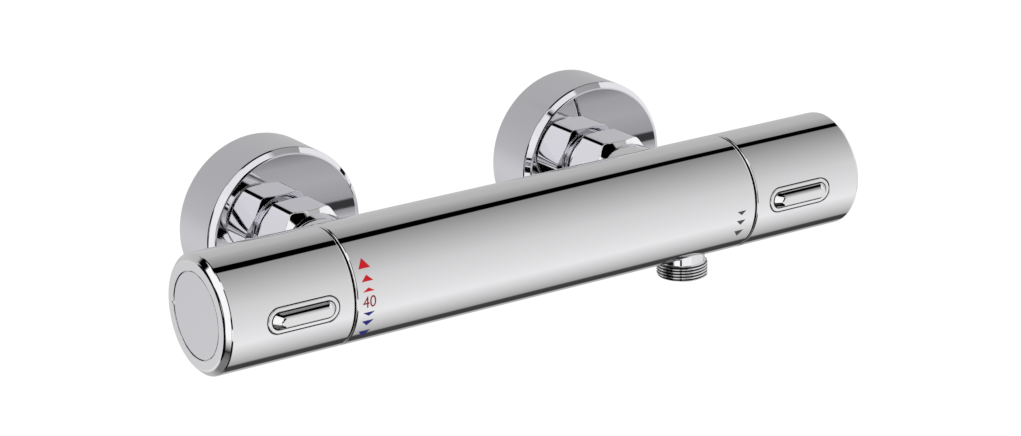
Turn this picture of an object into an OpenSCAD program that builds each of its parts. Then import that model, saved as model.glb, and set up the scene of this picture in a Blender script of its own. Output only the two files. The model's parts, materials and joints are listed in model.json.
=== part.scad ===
// Exposed bar thermostatic shower valve for a wall
// Origin: the wall plane, midway between the two wall threads
// +X runs right along the bar, +Y into the wall, +Z up

/* [Bar] */
// Outside diameter of the body and of both handles
bar_d = 47; // [46:0.5:52]
// Length over both handles
overall_len = 300; // [296:1:320]
// Length of the body, from seam to seam
body_len = 190; // [188:0.5:194]
// Width of the dark line between the body and a handle
seam_gap = 0.8; // [0.6:0.1:1]
// Broken edge on both sides of a seam
seam_break = 0.3; // [0.2:0.05:0.5]
// Distance from the wall plane to the bar's axis
wall_dist = 86.2; // [84:0.2:92]
// Height of the bar's axis above the wall threads
rise = 7.5; // [6:0.5:9]

/* [Handles] */
// Wall of a handle's shell
handle_wall = 2.5; // [2.2:0.1:2.8]
// Bevel round the outer end of a handle
end_bevel = 2.2; // [1.5:0.1:2.6]
// Diameter of the round cap in a handle's end
cap_d = 34; // [32:0.5:36]
// Thickness of the cap's plate
cap_t = 2; // [1.5:0.1:2.5]
// Diameter of the hub that carries the splined bush
hub_d = 19; // [18.5:0.1:20]
// Thickness of the web between the hub and the shell
web_t = 3; // [2.5:0.1:3.5]
// Room for the screw head behind the cap
head_room = 11; // [9:0.5:12]

/* [Buttons] */
// Length of a button along the bar
button_len = 30.5; // [28:0.5:31]
// Width of a button round the bar
button_w = 10; // [9:0.25:11]
// Distance from the body's seam to the middle of a button
button_at = 22.4; // [22:0.1:23]
// Length of the raised rib
rib_len = 27; // [25:0.25:27.5]
// Width of the raised rib
rib_w = 6.4; // [5.5:0.1:7]
// Height of the rib above the handle
rib_h = 3; // [2.5:0.1:3.5]
// Rounding of the rib's upper edge
rib_round = 1.4; // [1:0.1:2]
// How far a button can be pressed
button_travel = 2; // [1.5:0.1:2.2]

/* [Inlets] */
// Distance between the two inlets
inlet_spacing = 150; // [150:0.5:151]
// Diameter of a boss on the back of the body
boss_d = 29; // [27:0.5:30]
// Distance from the bar's axis to the end of a boss
boss_reach = 38; // [37:0.25:39]
// Outside diameter of an inlet nipple
nipple_d = 20.8; // [20.4:0.1:21.4]
// Bore of an inlet nipple
nipple_bore = 17; // [16.8:0.1:17.4]
// Distance from the bar's axis to the sealing face of a nipple
nipple_reach = 49.5; // [49:0.25:51]
// Width across the flats of a union nut
nut_af = 30; // [30:0.5:32]
// Length of a union nut
nut_len = 18; // [17:0.25:18.5]
// Outside diameter of the union thread, G3/4
union_thread_d = 26.44; // [26.2:0.02:26.6]
// Thread pitch of the union and wall threads
pitch = 1.814; // [1.6:0.002:2]

/* [Wall side] */
// Outside diameter of the wall threads, G1/2
wall_thread_d = 20.955; // [20.6:0.005:21.2]
// Length of a wall thread behind the wall plane
wall_thread_len = 15; // [12:0.5:20]
// Outside diameter of an escutcheon
esc_d = 69.5; // [66:0.5:74]
// Depth of an escutcheon
esc_depth = 25; // [23:0.25:25]
// Sheet thickness of an escutcheon
esc_wall = 1.4; // [1:0.1:1.8]
// Bevel round the front of an escutcheon
esc_bevel = 2.3; // [1.5:0.1:3]

/* [Outlet] */
// Outside diameter of the outlet thread, G1/2
outlet_thread_d = 20.955; // [20.6:0.005:21.2]
// Height of the outlet thread
outlet_thread_len = 6.2; // [5.5:0.1:9]
// Spacing of the ridges on the outlet thread
outlet_pitch = 1.24; // [1.1:0.01:1.4]
// Height of the plain neck above the outlet thread
outlet_neck = 1.9; // [1.5:0.1:3]
// Bore of the outlet
outlet_bore = 14.6; // [13:0.1:15]

/* [Cartridges] */
// Outside diameter of the thermostatic cartridge
thermo_d = 26.8; // [26.6:0.1:27.4]
// Outside diameter of the flow cartridge
flow_d = 21.8; // [21.6:0.1:22.4]
// Diameter of a cartridge's flange
flange_d = 29.2; // [28.8:0.1:29.4]
// Thickness of a cartridge's flange
flange_t = 2.5; // [2:0.1:3]
// Width across the flats of a retaining nut
ring_nut_af = 25; // [24:0.1:26]
// Diameter of a cartridge's nose
nose_d = 21.2; // [21:0.1:21.6]
// Diameter of a spindle in its bearing
spindle_d = 12; // [11.5:0.1:12.6]
// Diameter over the splines of a spindle
spline_d = 9.2; // [8.8:0.1:9.6]
// Number of splines
spline_count = 20; // [12:1:24]
// Advance of the adjusting cup in one turn of the spindle
lead = 2; // [1.5:0.1:2]

/* [Hidden] */
$fn = 64;

// Fits and cuts
cut = 0.5;
fit = 0.1;
running = 0.06;
seat = 0.2;
clear = 0.3;
right = 1;
left = -1;

// Grooves for the O-rings, wide ones and small ones
groove_deep = 1.2;
groove_w = 1.6;
groove_back = 2.7;
small_deep = 1;
small_w = 1.5;

// Bar
bar_r = bar_d / 2;
bar_wall = 2;
seam_at = body_len / 2;
body_end = seam_at - seam_gap / 2;
handle_start = seam_at + seam_gap / 2;
handle_end = overall_len / 2;
inlet_at = inlet_spacing / 2;

// Handle, measured along the bar from its middle
shell_r = bar_r - handle_wall;
cap_r = cap_d / 2;
cap_gap = 0.3;
cap_sink = 0.15;
cap_seat = handle_end - cap_t - cap_sink;
ledge = 1.6;
skirt_t = 1.3;
skirt_len = 4;
web_out = handle_end - head_room;
web_in = web_out - web_t;
hub_r = hub_d / 2;
hub_wall = 2;
bush_r = hub_r - hub_wall;
bush_len = 20.5;
bush_step = 0.5;
bush_in = web_in - bush_len;
hub_in = bush_in - bush_step;
notch_r = 0.7;
notch_deep = 1;

// Button, measured outward from the bar's axis
button_mid = seam_at + button_at;
button_gap = 0.35;
flange_gap = 0.3;
button_flange_t = 1.1;
button_flange_r = shell_r - flange_gap;
button_under_r = button_flange_r - button_flange_t;
button_lip = 1.1;
press_gap = 0.6;
rib_root = 1;
pad_r = 4;
pad_deep = 0.6;
spigot_r = 2.1;
spigot_len = 2.6;
spring_boss_r = 4.2;
spring_boss_up = 1;
spring_boss_top = hub_r + spring_boss_up;
button_wire = 0.35;
button_coil_r = 3;
button_turns = 4;
finger_w = 2.2;
finger_t = 1.1;
finger_gap = 0.3;

// Stop ring
collar_len = 5.4;
collar_r = button_under_r - button_travel - press_gap;
collar_end = seam_at + collar_len;
stop_plate_t = 1.3;
stop_ring_gap = 0.4;
stop_ring_r = shell_r - stop_ring_gap;
lug_r = button_under_r + finger_t - button_travel + press_gap;
lug_len = 2.4;
lug_end = body_end + stop_plate_t + lug_len;
lug_turn = 9;
stop_slack = 2;
handle_rib_turn = 9;
hot_limit = 45;
cold_limit = 120;
open_limit = 90;
safety_at = 9;
eco_at = 47;

// Cartridge seats
nut_thread_len = 2.9;
ring_thread_r = flange_d / 2 + clear;
seat_at = collar_end - nut_thread_len - flange_t;
flange_out = seat_at + flange_t;
ring_nut_t = 3.5;
nose_r = nose_d / 2;
nose_len = 12.5;
nose_end = flange_out + nose_len;
bearing_t = 4.5;
bearing_in = nose_end - bearing_t;
spindle_r = spindle_d / 2;
neck_step = 1;
spindle_neck_r = spindle_r - neck_step;
spindle_groove_at = nose_end - bearing_t / 2;
collar_t = 2;
spline_r = spline_d / 2;
spline_deep = 0.5;
spindle_tip = web_in - bush_step;
screw_r = 2;
screw_len = 15;
screw_head_r = 3.8;
screw_head_t = 3;
screw_socket_af = 2.5;

// Thermostatic cartridge
thermo_r = thermo_d / 2;
socket_r = thermo_r + fit;
annulus_deep = 2;
annulus_r = socket_r + annulus_deep;
cold_seat_deep = 10;
slide_room = 10;
port_w = 2.7;
port_len = 6;
port_count = 6;
thermo_tail = 11;
cold_seat_at = seat_at - cold_seat_deep;
hot_seat_at = cold_seat_at - slide_room;
thermo_end = hot_seat_at - thermo_tail;
hot_annulus_len = 9;
cold_annulus_len = 8;
hot_annulus_in = hot_seat_at + port_w - hot_annulus_len;
cold_annulus_out = cold_seat_at - port_w + cold_annulus_len;
thermo_grooves = [(thermo_end + hot_annulus_in) / 2, (hot_seat_at + cold_seat_at) / 2,
    (cold_annulus_out + seat_at) / 2];
slide_r = 9.4;
slide_bore = slide_r + fit;
recess_deep = 1.2;
recess_r = slide_bore + recess_deep;
seat_bore = 8.3;
seat_t = 1.5;
head_thread_r = 10;
head_bore = 8.7;
wax_travel = 0.2;
slide_gap = lead * cold_limit / 360 + wax_travel + fit;
slide_in = hot_seat_at + slide_gap;
slide_out = cold_seat_at - slide_gap;
slide_web = (slide_in + slide_out) / 2;
slide_inner = 7.2;
slide_web_t = 2;
slide_hole_r = 1.3;
slide_hole_count = 6;
bulb_r = 4;
bulb_up = 2;
bulb_gap = 1.6;
element_neck_r = 3.2;
element_flange_r = 6.3;
element_guide = 2;
element_out = cold_seat_at + seat_t + element_guide;
piston_r = 1.5;
piston_room = 1;
return_wire = 0.5;
return_coil_r = 6.4;
return_turns = 5;
cup_r = head_bore - running;
cup_room = 2;
cup_out = bearing_in - collar_t - cup_room - lead * hot_limit / 360;
cup_len = 11;
cup_in = cup_out - cup_len;
cup_floor_t = 4.2;
cup_cavity_r = 7.2;
key_w = 2;
key_len = 3;
key_deep = 0.5;
key_r = cup_r + key_deep;
screw_stud_r = 3.5;
stud_over = 1;
clip_t = 0.7;
clip_w = 1.5;
clip_gap = 0.4;
clip_turn = 300;
pusher_t = 1.2;
pusher_at = cup_in + clip_t + clip_gap;
overload_wire = 0.55;
overload_turns = 2;

// Flow cartridge
flow_r = flow_d / 2;
flow_socket_r = flow_r + fit;
flow_annulus_deep = 3;
flow_annulus_r = flow_socket_r + flow_annulus_deep;
flow_annulus_back = 11;
flow_len = 34;
flow_end = seat_at - flow_len;
disc_wall = 2;
disc_r = flow_r - disc_wall;
disc_t = 2.8;
disc_rim = 1.6;
disc_port_r = disc_r - disc_rim;
disc_core_r = 2.2;
disc_port_turn = 80;
seal_t = 1.4;
disc_at = flow_end + seal_t + 2 * fit;
discs_out = disc_at + 2 * disc_t;
flow_tube_r = 7.6;
bore_step = 1;
window = 12;
window_gap = 1;
carrier_t = 3;
dog_in_r = 3;
dog_out_r = 6.5;
dog_turn = 30;

// Waterways in the body
mix_r = 9;
way_in_r = 17;
way_out_r = bar_r - bar_wall;
way_from = 35;
way_to = 85;
way_margin = 5;
way_edge = 1;
inlet_bore_r = 8;
inlet_bore_deep = 18.5;
drop_r = 4.2;

// Wall side, measured from the bar's axis toward the wall
union_r = union_thread_d / 2;
nipple_r = nipple_d / 2;
nipple_bore_r = nipple_bore / 2;
nipple_root = 30;
nipple_flange_t = 3.2;
nipple_flange_gap = 0.7;
nipple_flange_r = union_r - nipple_flange_gap;
nut_start = 40;
nut_end = nut_start + nut_len;
nut_bore = union_r + fit;
nut_shoulder = nipple_reach - nipple_flange_t - seat;
nut_face_r = 13.4;
nut_rear_r = 14.6;
nut_cone = 3.6;
nut_rear_cone = 1.6;
washer_t = 2.2;
strainer_r = nipple_bore_r - fit;
strainer_t = 0.6;
strainer_rim = 1;
strainer_wire = 0.35;
strainer_step = 1.6;
connector_start = nipple_reach + washer_t;
esc_front = wall_dist - esc_depth;
esc_r = esc_d / 2;
esc_in_r = esc_r - esc_wall;
esc_play = 0.4;
esc_hole = union_r + esc_play;
cheek_back = 4.8;
connector_front = esc_front + cheek_back;
connector_bore = 9.2;
cheek_t = 7;
cheek_r = 14.2;
rear_bore = 7.6;
wall_thread_r = wall_thread_d / 2;
grip_r = 1.1;
wall_seal_w = 2.4;
wall_seal_t = 1.8;
land_share = 0.4;
round_share = 0.01;
thread_deep = 0.75;

// Outlet, measured downward from the bar's axis
outlet_r = outlet_thread_d / 2;
outlet_deep = 0.55;
outlet_step = 1.3;
outlet_neck_r = outlet_r - outlet_step;
outlet_bore_r = outlet_bore / 2;
outlet_root = 15.5;
outlet_start = bar_r + outlet_neck;
outlet_end = outlet_start + outlet_thread_len;

// Check valves, measured from the bar's axis toward the wall
cage_r = nipple_bore_r - fit;
cage_in = 33.5;
cage_out = 48.3;
cage_wall = 1.2;
seat_ring_t = 1.6;
seat_hole = 5.4;
poppet_r = 6.3;
poppet_t = 1.6;
poppet_stem = 1.2;
poppet_tail = 0.5;
poppet_face = cage_out - seat_ring_t - seat;
guide_r = 2.2;
guide_t = 2;
leg_w = 1.4;
check_wire = 0.3;
check_coil_r = 3.2;
check_turns = 5;

// Facets of a coil spring: sides of the wire, rings in a turn
ring_sides = 6;
rings_per_turn = 8;

// Colours
chrome = [0.82, 0.83, 0.85];
brass = [0.80, 0.66, 0.36];
steel = [0.62, 0.63, 0.65];
rubber = [0.10, 0.10, 0.11];
plastic = [0.93, 0.93, 0.90];
dark_plastic = [0.20, 0.21, 0.23];
copper = [0.78, 0.48, 0.32];
ceramic = [0.95, 0.94, 0.90];
fibre = [0.55, 0.16, 0.12];

// Solid of revolution from points [radius, height]
module turned(points) { rotate_extrude() polygon(points); }

// Tube between two heights
module tube(ro, ri, z0, z1) {
    turned([[ri, z0], [ro, z0], [ro, z1], [ri, z1]]);
}

// Rod between two heights
module rod(r, z0, z1) { translate([0, 0, z0]) cylinder(r = r, h = z1 - z0); }

// Sector of a tube, its middle turned by "at" from the front, downward positive
module sector(ro, ri, z0, z1, at, spread) {
    rotate([0, 0, at - 90 - spread / 2]) rotate_extrude(angle = spread)
        polygon([[ri, z0], [ro, z0], [ro, z1], [ri, z1]]);
}

// O-ring that fills the room between a groove's floor and the bore round it
module oring(bore, floor_r, z) {
    translate([0, 0, z]) rotate_extrude() translate([(bore + floor_r) / 2, 0])
        circle(r = (bore - floor_r - fit) / 2, $fn = 24);
}
module groove(r, deep, w, z) { tube(r + cut, r - deep, z - w / 2, z + w / 2); }

// Male thread drawn as even ridges with flat crests
module thread(r, deep, step, z0, z1) {
    count = floor((z1 - z0) / step + round_share);
    flat_w = step * land_share;
    slope = (step - flat_w) / 2;
    first = z1 - count * step;
    turned(concat(
        [[0, z0], [r - deep, z0], [r - deep, first]],
        [for (i = [0:count - 1], k = [0:2])
            k == 0 ? [r, first + i * step + slope] :
            k == 1 ? [r, first + i * step + slope + flat_w] : [r - deep, first + (i + 1) * step]],
        [[0, z1]]));
}

// Coil spring along Z from z0 to z1, one unbroken tube
function coil_ring(wire, mid, z0, rise_z, turns, k) =
    let (t = k / (turns * rings_per_turn), a = 360 * turns * t,
         slope = atan2(rise_z, 2 * PI * mid * turns))
    [for (s = [0:ring_sides - 1])
        let (b = 360 * s / ring_sides, e = mid + wire * cos(b),
             up = wire * sin(b) * cos(slope), back = wire * sin(b) * sin(slope))
        [e * cos(a) + back * sin(a), e * sin(a) - back * cos(a), z0 + rise_z * t + up]];
module coil(wire, mid, z0, z1, turns) {
    rings = turns * rings_per_turn;
    low = z0 + wire;
    rise_z = z1 - z0 - 2 * wire;
    points = [for (k = [0:rings], p = coil_ring(wire, mid, low, rise_z, turns, k)) p];
    sides = [for (k = [0:rings - 1], s = [0:ring_sides - 1])
        let (n = (s + 1) % ring_sides, a = k * ring_sides, b = a + ring_sides)
        for (f = [[a + s, b + n, a + n], [a + s, b + s, b + n]]) f];
    lids = [for (s = [1:ring_sides - 2])
        for (f = [[0, s, s + 1],
                  [rings * ring_sides, rings * ring_sides + s + 1, rings * ring_sides + s]]) f];
    echo("least gap between turns", rise_z / turns - 2 * wire);
    polyhedron(points = points, faces = concat(sides, lids));
}

// Outline with round ends, its length along Y
module slot_shape(len, w) {
    for (s = [-1, 1]) translate([0, s * (len - w) / 2]) circle(d = w);
    square([w, len - w], center = true);
}

// Hexagon with two flats level
module hexagon(af) { circle(r = af / 2 / cos(30), $fn = 6); }

// Frames: along one half of the bar, from the bar toward the wall, and down to the outlet
module along(side) {
    translate([0, -wall_dist, rise]) mirror([side == left ? 1 : 0, 0, 0]) rotate([0, 90, 0]) children();
}
module toward_wall(side) { translate([side * inlet_at, -wall_dist, rise]) rotate([-90, 0, 0]) children(); }
module downward() { translate([inlet_at, -wall_dist, rise]) rotate([180, 0, 0]) children(); }

// Body: bar, end collars and bosses, less sockets and waterways
module body_end_piece() {
    translate([0, 0, body_end - seam_break])
        cylinder(r1 = bar_r, r2 = bar_r - seam_break, h = seam_break);
    rod(collar_r, body_end - cut, collar_end);
}
module left_socket() {
    rod(ring_thread_r, seat_at, collar_end + cut);
    rod(socket_r, thermo_end - seat, seat_at + cut);
    rod(annulus_r, hot_annulus_in, hot_seat_at + port_w);
    rod(annulus_r, cold_seat_at - port_w, cold_annulus_out);
}
module right_socket() {
    rod(ring_thread_r, seat_at, collar_end + cut);
    rod(flow_socket_r, flow_end, seat_at + cut);
    rod(flow_annulus_r, discs_out, seat_at - flow_annulus_back);
}
// Cold water's way: from the right inlet round to the top, then left past the hot ports
module cold_way() {
    mid = (way_from + way_to) / 2 - 180;
    slot_half = inlet_bore_r - way_edge;
    far_end = way_edge - cold_annulus_out;
    along(right) {
        sector(way_out_r, way_in_r, far_end, inlet_at, mid, way_to - way_from);
        sector(way_out_r - fit, way_in_r + fit, inlet_at - slot_half, inlet_at + slot_half,
            way_to / 2 - way_margin - 180, way_to - 2 * way_margin);
        sector(way_in_r + cut, annulus_r - cut, far_end + way_edge,
            far_end + cold_annulus_len - 2 * way_edge, mid, way_to - way_from - 2 * way_margin);
    }
}
module inlet_bores(side) {
    toward_wall(side) {
        rod(inlet_bore_r, inlet_bore_deep, nipple_root + cut);
        rod(nipple_r + running, nipple_root, boss_reach + cut);
    }
}
module valve_body() {
    hot_mid = hot_annulus_in + hot_annulus_len / 2;
    color(chrome) difference() {
        union() {
            along(right) rod(bar_r, seam_break - body_end, body_end - seam_break);
            along(left) body_end_piece();
            along(right) body_end_piece();
            for (side = [left, right]) toward_wall(side) rod(boss_d / 2, 0, boss_reach);
        }
        along(left) left_socket();
        along(right) right_socket();
        along(right) rod(mix_r, -thermo_end - cut, flow_end + cut);
        cold_way();
        for (side = [left, right]) inlet_bores(side);
        translate([left * (hot_mid - inlet_at), 0, 0]) toward_wall(left)
            rod(drop_r, socket_r - cut, inlet_bore_deep + cut);
        downward() {
            rod(outlet_bore_r, mix_r, outlet_root + cut);
            rod(outlet_neck_r + running, outlet_root, bar_r + cut);
        }
    }
}

// Outlet nipple, screwed into the body from below
module outlet_nipple() {
    color(chrome) downward() difference() {
        union() {
            rod(outlet_neck_r, outlet_root + fit, outlet_start + cut);
            thread(outlet_r, outlet_deep, outlet_pitch, outlet_start, outlet_end);
        }
        rod(outlet_bore_r, outlet_root, outlet_end + cut);
        groove(outlet_neck_r, groove_deep, groove_w, outlet_root + groove_back);
    }
}
module outlet_oring() {
    color(rubber) downward()
        oring(outlet_neck_r + running, outlet_neck_r - groove_deep, outlet_root + groove_back);
}

// Inlet nipple with the flange that holds the captive nut
module inlet_nipple(side) {
    color(brass) toward_wall(side) difference() {
        union() {
            rod(nipple_r, nipple_root + fit, nipple_reach);
            rod(nipple_flange_r, nipple_reach - nipple_flange_t, nipple_reach);
        }
        rod(nipple_bore_r, nipple_root, nipple_reach + cut);
        groove(nipple_r, groove_deep, groove_w, boss_reach - groove_back);
    }
}
module hot_inlet_nipple() { inlet_nipple(left); }
module cold_inlet_nipple() { inlet_nipple(right); }
module nipple_orings() {
    color(rubber) for (side = [left, right]) toward_wall(side)
        oring(nipple_r + running, nipple_r - groove_deep, boss_reach - groove_back);
}

// Union nut, captive on the nipple and screwed on the wall connector
module union_nut(side) {
    corner = nut_af / 2 / cos(30);
    color(chrome) toward_wall(side) difference() {
        intersection() {
            translate([0, 0, nut_start]) linear_extrude(nut_len) hexagon(nut_af);
            turned([[0, nut_start], [nut_face_r, nut_start], [corner + cut, nut_start + nut_cone],
                [corner + cut, nut_end - nut_rear_cone], [nut_rear_r, nut_end], [0, nut_end]]);
        }
        rod(nipple_r + running, nut_start - cut, nut_end);
        rod(nut_bore, nut_shoulder, nut_end + cut);
    }
}
module hot_union_nut() { union_nut(left); }
module cold_union_nut() { union_nut(right); }

// Flat washers and strainers between the nipples and the wall connectors
module union_washers() {
    color(fibre) for (side = [left, right]) toward_wall(side)
        tube(nipple_flange_r, nipple_bore_r, nipple_reach, connector_start);
}
module inlet_strainers() {
    reach = floor(strainer_r / strainer_step);
    color(steel) for (side = [left, right]) toward_wall(side)
        translate([0, 0, nipple_reach + (washer_t - strainer_t) / 2]) linear_extrude(strainer_t) {
            difference() {
                circle(r = strainer_r);
                circle(r = strainer_r - strainer_rim);
            }
            intersection() {
                circle(r = strainer_r - strainer_rim / 2);
                union() for (i = [-reach:reach]) {
                    translate([i * strainer_step, 0]) square([strainer_wire, 2 * strainer_r], center = true);
                    translate([0, i * strainer_step]) square([2 * strainer_r, strainer_wire], center = true);
                }
            }
        }
}

// Wall connector: union thread, offset cheek and wall thread with a through bore
module wall_connector(side) {
    rear = [0, rise, 0];
    thread_end = esc_front - clear;
    neck_r = wall_thread_r - thread_deep;
    color(chrome) toward_wall(side) difference() {
        union() {
            thread(union_r, thread_deep, pitch, connector_start, thread_end);
            rod(union_r, thread_end, connector_front + cut);
            translate([0, rise / 2, connector_front]) linear_extrude(cheek_t)
                slot_shape(2 * cheek_r + rise, 2 * cheek_r);
            translate(rear) {
                rod(neck_r, connector_front + cheek_t - cut, wall_dist + cut);
                thread(wall_thread_r, thread_deep, pitch, connector_front + cheek_t + pitch,
                    wall_dist + wall_thread_len);
            }
        }
        rod(connector_bore, connector_start - cut, connector_front + cheek_t / 2 + cut);
        translate(rear) rod(rear_bore, connector_front + cheek_t / 2, wall_dist + wall_thread_len + cut);
    }
}
module hot_wall_connector() { wall_connector(left); }
module cold_wall_connector() { wall_connector(right); }

// Escutcheon: a deep cup with its open side on the wall
module escutcheon(side) {
    color(chrome) toward_wall(side) turned([
        [esc_hole, esc_front], [esc_r - esc_bevel, esc_front], [esc_r, esc_front + esc_bevel],
        [esc_r, wall_dist], [esc_in_r, wall_dist], [esc_in_r, esc_front + esc_bevel + esc_wall / 2],
        [esc_r - esc_bevel - esc_wall / 2, esc_front + esc_wall], [esc_hole, esc_front + esc_wall]]);
}
module hot_escutcheon() { escutcheon(left); }
module cold_escutcheon() { escutcheon(right); }
module escutcheon_seals() {
    color(rubber) for (side = [left, right]) toward_wall(side)
        tube(esc_in_r - fit, esc_in_r - fit - wall_seal_w, wall_dist - wall_seal_t, wall_dist);
}
module escutcheon_grip_rings() {
    mid = union_r + grip_r + fit;
    color(rubber) for (side = [left, right]) toward_wall(side)
        translate([0, 0, esc_front + esc_wall + grip_r + fit]) rotate_extrude()
            translate([mid, 0]) circle(r = grip_r, $fn = 24);
}

// Check valve in each inlet nipple: a cage with a guide, a poppet and its spring
module check_cage(side) {
    inner = cage_r - cage_wall;
    leg_from = (guide_r + poppet_stem) / 2;
    color(plastic) toward_wall(side) {
        tube(cage_r, inner, cage_in, cage_out - seat_ring_t + cut);
        tube(cage_r, seat_hole, cage_out - seat_ring_t, cage_out);
        tube(guide_r, poppet_stem + running, cage_in, cage_in + guide_t);
        for (a = [0:120:240]) rotate([0, 0, a]) translate([leg_from, -leg_w / 2, cage_in])
            cube([inner + cage_wall / 2 - leg_from, leg_w, guide_t]);
    }
}
module check_poppet(side) {
    color(dark_plastic) toward_wall(side) {
        rod(poppet_r, poppet_face - poppet_t, poppet_face);
        rod(poppet_stem, cage_in - poppet_tail, poppet_face - poppet_t + cut);
    }
}
module check_spring(side) {
    color(steel) toward_wall(side) coil(check_wire, check_coil_r, cage_in + guide_t + running,
        poppet_face - poppet_t - running, check_turns);
}
module hot_check_cage() { check_cage(left); }
module cold_check_cage() { check_cage(right); }
module hot_check_poppet() { check_poppet(left); }
module cold_check_poppet() { check_poppet(right); }
module hot_check_spring() { check_spring(left); }
module cold_check_spring() { check_spring(right); }

// Ring nut that clamps a cartridge's flange in the body
module retaining_nut(side) {
    color(brass) along(side) difference() {
        union() {
            rod(ring_thread_r - fit, flange_out, collar_end + fit);
            translate([0, 0, collar_end + fit]) linear_extrude(ring_nut_t) hexagon(ring_nut_af);
        }
        rod(nose_r + fit, flange_out - cut, collar_end + ring_nut_t + cut);
    }
}
module thermostat_retaining_nut() { retaining_nut(left); }
module flow_retaining_nut() { retaining_nut(right); }

// Thermostatic cartridge housing with hot and cold ports and O-ring grooves
module thermostat_housing() {
    color(brass) along(left) difference() {
        union() {
            rod(thermo_r, thermo_end, seat_at + cut);
            rod(flange_d / 2, seat_at, flange_out);
        }
        rod(head_thread_r, thermo_end - cut, hot_seat_at);
        rod(slide_bore, hot_seat_at - cut, cold_seat_at);
        rod(seat_bore, cold_seat_at - cut, cold_seat_at + seat_t + cut);
        rod(head_thread_r, cold_seat_at + seat_t, flange_out + cut);
        rod(recess_r, hot_seat_at, hot_seat_at + port_w);
        rod(recess_r, cold_seat_at - port_w, cold_seat_at);
        for (z = [hot_seat_at, cold_seat_at - port_w], i = [1:port_count])
            rotate([0, 0, 360 * i / port_count]) translate([0, -port_len / 2, z])
                cube([thermo_r + cut, port_len, port_w]);
        for (z = thermo_grooves) groove(thermo_r, groove_deep, groove_w, z);
    }
}
module thermostat_orings() {
    color(rubber) along(left) for (z = thermo_grooves) oring(socket_r, thermo_r - groove_deep, z);
}
// Headpart: bearing of the spindle and guide of the adjusting cup
module thermostat_headpart() {
    color(brass) along(left) difference() {
        union() {
            rod(head_thread_r - fit / 2, cold_seat_at + seat_t + clear, flange_out + cut);
            rod(nose_r, flange_out, nose_end);
        }
        rod(head_bore, cold_seat_at, bearing_in);
        rod(spindle_r + running, bearing_in - cut, nose_end + cut);
        translate([0, -key_w / 2 - fit, cold_seat_at])
            cube([key_r + fit, key_w + 2 * fit, bearing_in - collar_t - cold_seat_at]);
    }
}
// Ring with the hot seat, screwed in the inner end of the housing
module hot_seat_ring() {
    color(brass) along(left) difference() {
        rod(head_thread_r - fit / 2, thermo_end, hot_seat_at);
        rod(seat_bore, thermo_end + seat_t, hot_seat_at + cut);
        rod(bulb_r + bulb_gap, thermo_end - cut, thermo_end + seat_t + cut);
    }
}

// Adjusting cup on the spindle's screw, with the overload spring and its pusher
module adjusting_cup() {
    color(brass) along(left) {
        difference() {
            rod(cup_r, cup_in, cup_out);
            rod(screw_stud_r + running, cup_in - cut, cup_out + cut);
            rod(cup_cavity_r, cup_in - cut, cup_out - cup_floor_t);
        }
        translate([cup_r - cut, -key_w / 2, cup_out - key_len]) cube([key_deep + cut, key_w, key_len]);
    }
}
module overload_spring() {
    color(steel) along(left) coil(overload_wire, cup_cavity_r - overload_wire - seat,
        pusher_at + pusher_t + running, cup_out - cup_floor_t - running, overload_turns);
}
module overload_pusher() {
    color(brass) along(left) rod(cup_cavity_r - fit, pusher_at, pusher_at + pusher_t);
}
module cup_clip() {
    out = cup_cavity_r - fit;
    color(steel) along(left) rotate([0, 0, (360 - clip_turn) / 2]) rotate_extrude(angle = clip_turn)
        polygon([[out - clip_w, cup_in], [out, cup_in], [out, cup_in + clip_t], [out - clip_w, cup_in + clip_t]]);
}
// Wax element with its piston, and the mixing slide that it carries
module wax_piston() {
    color(steel) along(left) rod(piston_r, slide_web + slide_web_t, pusher_at - running);
}
module wax_element() {
    color(copper) along(left) difference() {
        union() {
            rod(element_neck_r, slide_web - slide_web_t, element_out);
            rod(element_flange_r, slide_web - slide_web_t - fit, slide_web - fit);
            rod(bulb_r, thermo_end + bulb_up, slide_web - slide_web_t);
            translate([0, 0, thermo_end + bulb_up]) sphere(r = bulb_r);
        }
        rod(piston_r + running, slide_web + slide_web_t - piston_room, element_out + cut);
    }
}
module mixing_slide() {
    color(dark_plastic) along(left) difference() {
        rod(slide_r, slide_in, slide_out);
        rod(slide_inner, slide_in - cut, slide_web);
        rod(slide_inner, slide_web + slide_web_t, slide_out + cut);
        rod(element_neck_r + fit, slide_in, slide_out);
        for (i = [1:slide_hole_count]) rotate([0, 0, 360 * i / slide_hole_count])
            translate([(element_neck_r + slide_inner) / 2, 0, 0]) rod(slide_hole_r, slide_in, slide_out);
        groove(slide_r, small_deep, small_w, slide_web);
    }
}
module slide_oring() { color(rubber) along(left) oring(slide_bore, slide_r - small_deep, slide_web); }
module return_spring() {
    color(steel) along(left) coil(return_wire, return_coil_r, thermo_end + seat_t + running,
        slide_web - slide_web_t - 2 * fit, return_turns);
}

// Spindle: collar, bearing, neck and splined end with a screw hole
module spline_shape(r) {
    polygon([for (i = [0:spline_count - 1], k = [0:3])
        let (a = 360 / spline_count * (i + k / 4), q = k < 2 ? r : r - spline_deep)
        [q * cos(a), q * sin(a)]]);
}
module spindle_outside() {
    difference() {
        union() {
            rod(head_bore - clear, bearing_in - collar_t, bearing_in - seat);
            rod(spindle_r, bearing_in - cut, nose_end + clear);
            rod(spindle_neck_r, nose_end, bush_in - seat);
            translate([0, 0, bush_in - cut]) linear_extrude(spindle_tip - bush_in + cut)
                spline_shape(spline_r);
        }
        rod(screw_r + running, spindle_tip - screw_len, spindle_tip + cut);
        groove(spindle_r, small_deep, small_w, spindle_groove_at);
    }
}
module temperature_spindle() {
    color(brass) along(left) {
        spindle_outside();
        rod(screw_stud_r, cup_out - cup_floor_t - stud_over, bearing_in - collar_t + cut);
    }
}
module spindle_oring() { oring(spindle_r + running, spindle_r - small_deep, spindle_groove_at); }
module temperature_spindle_oring() { color(rubber) along(left) spindle_oring(); }

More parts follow.
